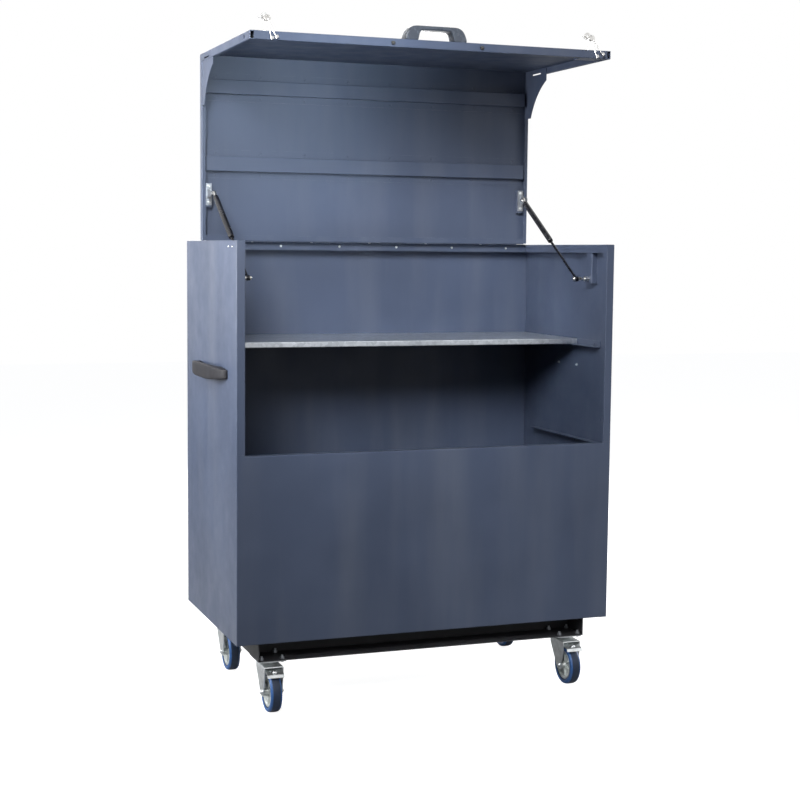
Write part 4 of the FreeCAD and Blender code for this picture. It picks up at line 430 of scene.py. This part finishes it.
def finish_piece(bm, name, material, body, levels=0):
    """Turn a bmesh into a smooth piece that rides on a body, with a subdivision where asked."""
    bmesh.ops.recalc_face_normals(bm, faces=bm.faces)
    mesh = bpy.data.meshes.new(name)
    bm.to_mesh(mesh)
    bm.free()
    mesh.polygons.foreach_set("use_smooth", [True] * len(mesh.polygons))
    mesh.materials.append(material)
    piece = bpy.data.objects.new(name, mesh)
    bpy.context.scene.collection.objects.link(piece)
    if levels:
        smooth = piece.modifiers.new("smooth", "SUBSURF")
        smooth.levels = levels
        smooth.render_levels = levels
    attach(piece, body)
    return piece


def rounded_corners(length, half_width, radius):
    """Points of a rounded rectangle, as a distance from the inner side and a place across."""
    points = []
    for corner, (centre, across) in enumerate(((length - radius, half_width - radius),
                                               (radius, half_width - radius),
                                               (radius, radius - half_width),
                                               (length - radius, radius - half_width))):
        for step in range(4):
            angle = math.radians(90 * corner + 30 * step)
            points.append((centre + radius * math.cos(angle), across + radius * math.sin(angle)))
    return points


def bow(sections, half_width, radius, to_place):
    """Bar with rounded edges through pairs of inner and outer points, each pair one section."""
    bm = bmesh.new()
    loops = []
    for inner, outer in sections:
        span = (outer - inner).length
        way = (outer - inner).normalized()
        edge = min(radius, span * 0.45)
        corners = [bm.verts.new(to_place(inner + way * reach, across))
                   for reach, across in rounded_corners(span, half_width, edge)]
        loops.append([bm.edges.new((corners[index - 1], corners[index]))
                      for index in range(len(corners))])
    for first, second in zip(loops, loops[1:]):
        bmesh.ops.bridge_loops(bm, edges=first + second)
    for end in (loops[0], loops[-1]):
        bmesh.ops.contextual_create(bm, geom=end)
    return bm


SAME_POINT = 0.000002


def spun(profile, origin, axis, steps=48):
    """Solid made by spinning a closed profile of radius and height, in mm, about an axis."""
    bm = bmesh.new()
    corners = [bm.verts.new((radius * MM, 0.0, height * MM)) for radius, height in profile]
    edges = [bm.edges.new((corners[index - 1], corners[index])) for index in range(len(corners))]
    bmesh.ops.spin(bm, geom=corners + edges, cent=(0, 0, 0), axis=(0, 0, 1), angle=math.tau,
                   steps=steps, use_merge=True)
    bmesh.ops.remove_doubles(bm, verts=bm.verts, dist=SAME_POINT)
    turn = Vector((0, 0, 1)).rotation_difference(Vector(axis)).to_matrix().to_4x4()
    bmesh.ops.transform(bm, matrix=Matrix.Translation(origin) @ turn, verts=bm.verts)
    return bm


print("helpers ready")

# %% [markdown]
# ## Handles
# A side handle is a long moulded bow: flat feet against the wall, a taper out to the grip, a slot
# behind it for the fingers, and a height that narrows towards both feet. It is written as a list of
# paired points in mm, from the inner side to the outer one. Only half of them are listed, and the
# other half is mirrored.

# %% Side handles
def mirrored_row(half_row):
    """A row of section pairs, and the same again on the far side of the middle."""
    return half_row + [(Vector((-inner.x, inner.y)), Vector((-outer.x, outer.y)))
                       for inner, outer in half_row[::-1]]


GRIP_HALF_WIDTH = 23.0
GRIP_ROUNDING = 5.0
GRIP_LEVELS = 2
STRAIGHT_HALF = 60.0
NARROWING_RUN = 140.0
NARROWING = 0.45
NARROWING_CURVE = 1.5
SIDE_GRIP = [((-199.6, 0), (-200, 4)), ((-197, 0), (-198.5, 8)), ((-186, 0), (-192, 14)),
             ((-168, 0), (-178, 20)), ((-148, 0), (-156, 26.5)), ((-132, 0.3), (-134, 31)),
             ((-124, 8), (-118, 34)), ((-112, 15), (-100, 35.8)), ((-94, 20.5), (-82, 37)),
             ((-66, 24), (-60, 37.8)), ((-25, 25), (-25, 38))]
for side, toward_wall in (("left", 1), ("right", -1)):
    node = "side_handle_" + side
    low_corner, high_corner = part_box(node)
    middle = (low_corner[1] + high_corner[1]) / 2
    height = (low_corner[2] + high_corner[2]) / 2
    wall = high_corner[0] if side == "left" else low_corner[0]

    def on_wall(point, across, wall=wall, toward_wall=toward_wall, middle=middle, height=height):
        along = max(0.0, (abs(point.x) - STRAIGHT_HALF) / NARROWING_RUN)
        narrowed = across * (1.0 - NARROWING * along ** NARROWING_CURVE)
        return (wall - toward_wall * point.y * MM, middle + point.x * MM, height + narrowed * MM)

    row = [(Vector(inner), Vector(outer)) for inner, outer in SIDE_GRIP]
    grip = finish_piece(bow(mirrored_row(row), GRIP_HALF_WIDTH, GRIP_ROUNDING, on_wall),
                        "side_grip_" + side, black_plastic, "carcass", GRIP_LEVELS)
    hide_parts(node)
print("side grips span", round((high_corner[1] - low_corner[1]) * 1000), "mm")

# %% [markdown]
# The lid handle is a bow of the same kind, shorter and with round shoulders. It stands on the flap
# of the lid, so its points count up from the bottom of the solid that it replaces.

# %% Lid handle
LID_GRIP_HALF_WIDTH = 21.0
LID_GRIP_ROUNDING = 4.5
LID_GRIP = [((-97.6, 0), (-98, 0.8)), ((-80, 0), (-98, 9)), ((-66, 0), (-94.5, 20)),
            ((-56.5, 0.4), (-89.5, 30)), ((-54.8, 10), (-82, 38)), ((-52.5, 21), (-72, 42.6)),
            ((-49, 28), (-62, 43.9)), ((-42, 30.8), (-46, 44)), ((-20, 31), (-20, 44))]
low_corner, high_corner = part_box("lid_handle")
handle_y = (low_corner[1] + high_corner[1]) / 2


def on_flap(point, across):
    return (point.x * MM, handle_y + across * MM, low_corner[2] + point.y * MM)


row = [(Vector(inner), Vector(outer)) for inner, outer in LID_GRIP]
lid_grip = finish_piece(bow(mirrored_row(row), LID_GRIP_HALF_WIDTH, LID_GRIP_ROUNDING, on_flap),
                        "lid_grip", glossy_plastic, "lid", GRIP_LEVELS)
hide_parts("lid_handle")
print("lid grip rises", round((high_corner[2] - low_corner[2]) * 1000), "mm")

# %% [markdown]
# ## Castor wheels
# The tread is a crowned ring of navy rubber, and each flank is painted a lighter blue: a painted
# highlight where the side light falls on it. The wheel centre is spun as well, and then gets spokes
# between the hub and the rim on both faces.

# %% Tyres and wheel centres
TYRE_PROFILE = [(46, -15), (49, -16.4), (52, -17.6), (55, -18), (58, -17.2), (60.4, -15),
                (61.8, -11.5), (62.35, -7), (62.5, 0), (62.35, 7), (61.8, 11.5), (60.4, 15),
                (58, 17.2), (55, 18), (52, 17.6), (49, 16.4), (46, 15)]
CENTRE_PROFILE = [(5.1, -26.4), (9.8, -26.4), (10.8, -25.4), (11, -7), (14, -5.2), (34, -5),
                  (37.4, -6.4), (38.8, -9), (39.4, -13.8), (40.6, -14.8), (45.9, -14.8),
                  (45.9, 14.8), (40.6, 14.8), (39.4, 13.8), (38.8, 9), (37.4, 6.4), (34, 5),
                  (14, 5.2), (11, 7), (10.8, 25.4), (9.8, 26.4), (5.1, 26.4)]
TREAD_STEPS = 72
CENTRE_STEPS = 64
SPOKES = 6
SPOKE_MIDDLE = 24.5
SPOKE_SIZE = (24.0, 3.4, 29.0)
SPOKE_EDGE = 0.8
FLANK_HIGHLIGHT_INNER = 0.0500
FLANK_HIGHLIGHT_OUTER = 0.0612
# Painted highlight: the navy tread rubber made lighter and bluer, as it looks where the side lamp
# falls on the flank.
painted_flank_highlight = moulded("blue_band_rubber", (0.018, 0.085, 0.260), 0.45, 700.0, 0.0002, 0.10)
for name in ("front_left", "front_right", "rear_left", "rear_right"):
    low_corner, high_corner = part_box("castor_tyre_" + name)
    axle = (Vector(low_corner) + Vector(high_corner)) / 2
    tyre = finish_piece(spun(TYRE_PROFILE, axle, (1, 0, 0), TREAD_STEPS), "tread_" + name,
                        tread_rubber, "castor_wheel_" + name)
    tyre.data.materials.append(painted_flank_highlight)
    # Faces whose middles lie between these radii, the flank's bulge and shoulder, get the painted
    # highlight.
    for face in tyre.data.polygons:
        out = math.hypot(face.center.y - axle.y, face.center.z - axle.z)
        if FLANK_HIGHLIGHT_INNER < out < FLANK_HIGHLIGHT_OUTER:
            face.material_index = 1
    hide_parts("castor_tyre_" + name)
    bm = spun(CENTRE_PROFILE, axle, (1, 0, 0), CENTRE_STEPS)
    for spoke in range(SPOKES):
        angle = math.tau * spoke / SPOKES
        turn = Matrix.Translation(axle) @ Matrix.Rotation(angle, 4, "X")
        size = Matrix.Diagonal((*(length * MM for length in SPOKE_SIZE), 1))
        shape = turn @ Matrix.Translation((0, 0, SPOKE_MIDDLE * MM)) @ size
        spoke_mesh = bmesh.ops.create_cube(bm, size=1.0, matrix=shape)
        rim_edges = {edge for vert in spoke_mesh["verts"] for edge in vert.link_edges}
        bmesh.ops.bevel(bm, geom=list(rim_edges), offset=SPOKE_EDGE * MM, segments=2, profile=0.5,
                        affect="EDGES", material=-1)
    centre = finish_piece(bm, "wheel_centre_" + name, grey_plastic, "castor_wheel_" + name)
    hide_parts("castor_wheel_" + name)
print("castor wheels with", SPOKES, "spokes each")

# %% [markdown]
# ## Gas struts
# The tube is crimped round its gland and drawn in at the far end. Its end fitting is bright metal and
# carries the short stud that reaches towards the bracket on the lid. Both lie on the line between
# the strut's two pivots, whose places at rest are written down below.

# %% Strut tubes and end fittings
STRUT_PLANE = 0.543
BODY_PIVOT = (-0.18875, 1.297)
LID_PIVOT = (0.22825, 1.559)
span = math.hypot(LID_PIVOT[0] - BODY_PIVOT[0], LID_PIVOT[1] - BODY_PIVOT[1]) * 1000
CAP = 22.0
TUBE = 242.4
tube_start = span - CAP - TUBE
TUBE_PROFILE = [(4.1, tube_start), (7.6, tube_start), (8.8, tube_start + 1.2), (9, tube_start + 6),
                (8.3, tube_start + 7.6), (8.3, tube_start + 9.6), (9, tube_start + 11.2),
                (9, span - CAP - 5), (8.6, span - CAP - 2), (6.6, span - CAP), (4.1, span - CAP),
                (4.1, span - CAP - 4), (7.3, span - CAP - 9), (7.3, tube_start + 9),
                (4.1, tube_start + 8)]
FITTING_PROFILE = [(0.05, span - CAP - 3), (4.0, span - CAP - 3), (4.6, span - CAP + 1),
                   (4.6, span - 11), (6.4, span - 8), (8.0, span - 4), (8.4, span),
                   (8.0, span + 4), (6.2, span + 7.2), (3.4, span + 8.4), (0.05, span + 8.4)]
PIN_PROFILE = [(0.05, 0), (4, 0), (4, 9.4), (3.4, 10), (0.05, 10)]
for side, sign in (("left", -1), ("right", 1)):
    foot = Vector((sign * STRUT_PLANE, *BODY_PIVOT))
    head = Vector((sign * STRUT_PLANE, *LID_PIVOT))
    line = (head - foot).normalized()
    tube = finish_piece(spun(TUBE_PROFILE, foot, line), "pressure_tube_" + side, strut_lacquer,
                        "strut_tube_" + side)
    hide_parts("strut_tube_" + side)
    finish_piece(spun(FITTING_PROFILE, foot, line), "strut_socket_" + side, bright_steel,
                 "strut_tube_" + side)
    finish_piece(spun(PIN_PROFILE, head, (sign, 0, 0)), "strut_pin_" + side, bright_steel,
                 "strut_tube_" + side)
print("strut length between pivots", round(span, 1), "mm")
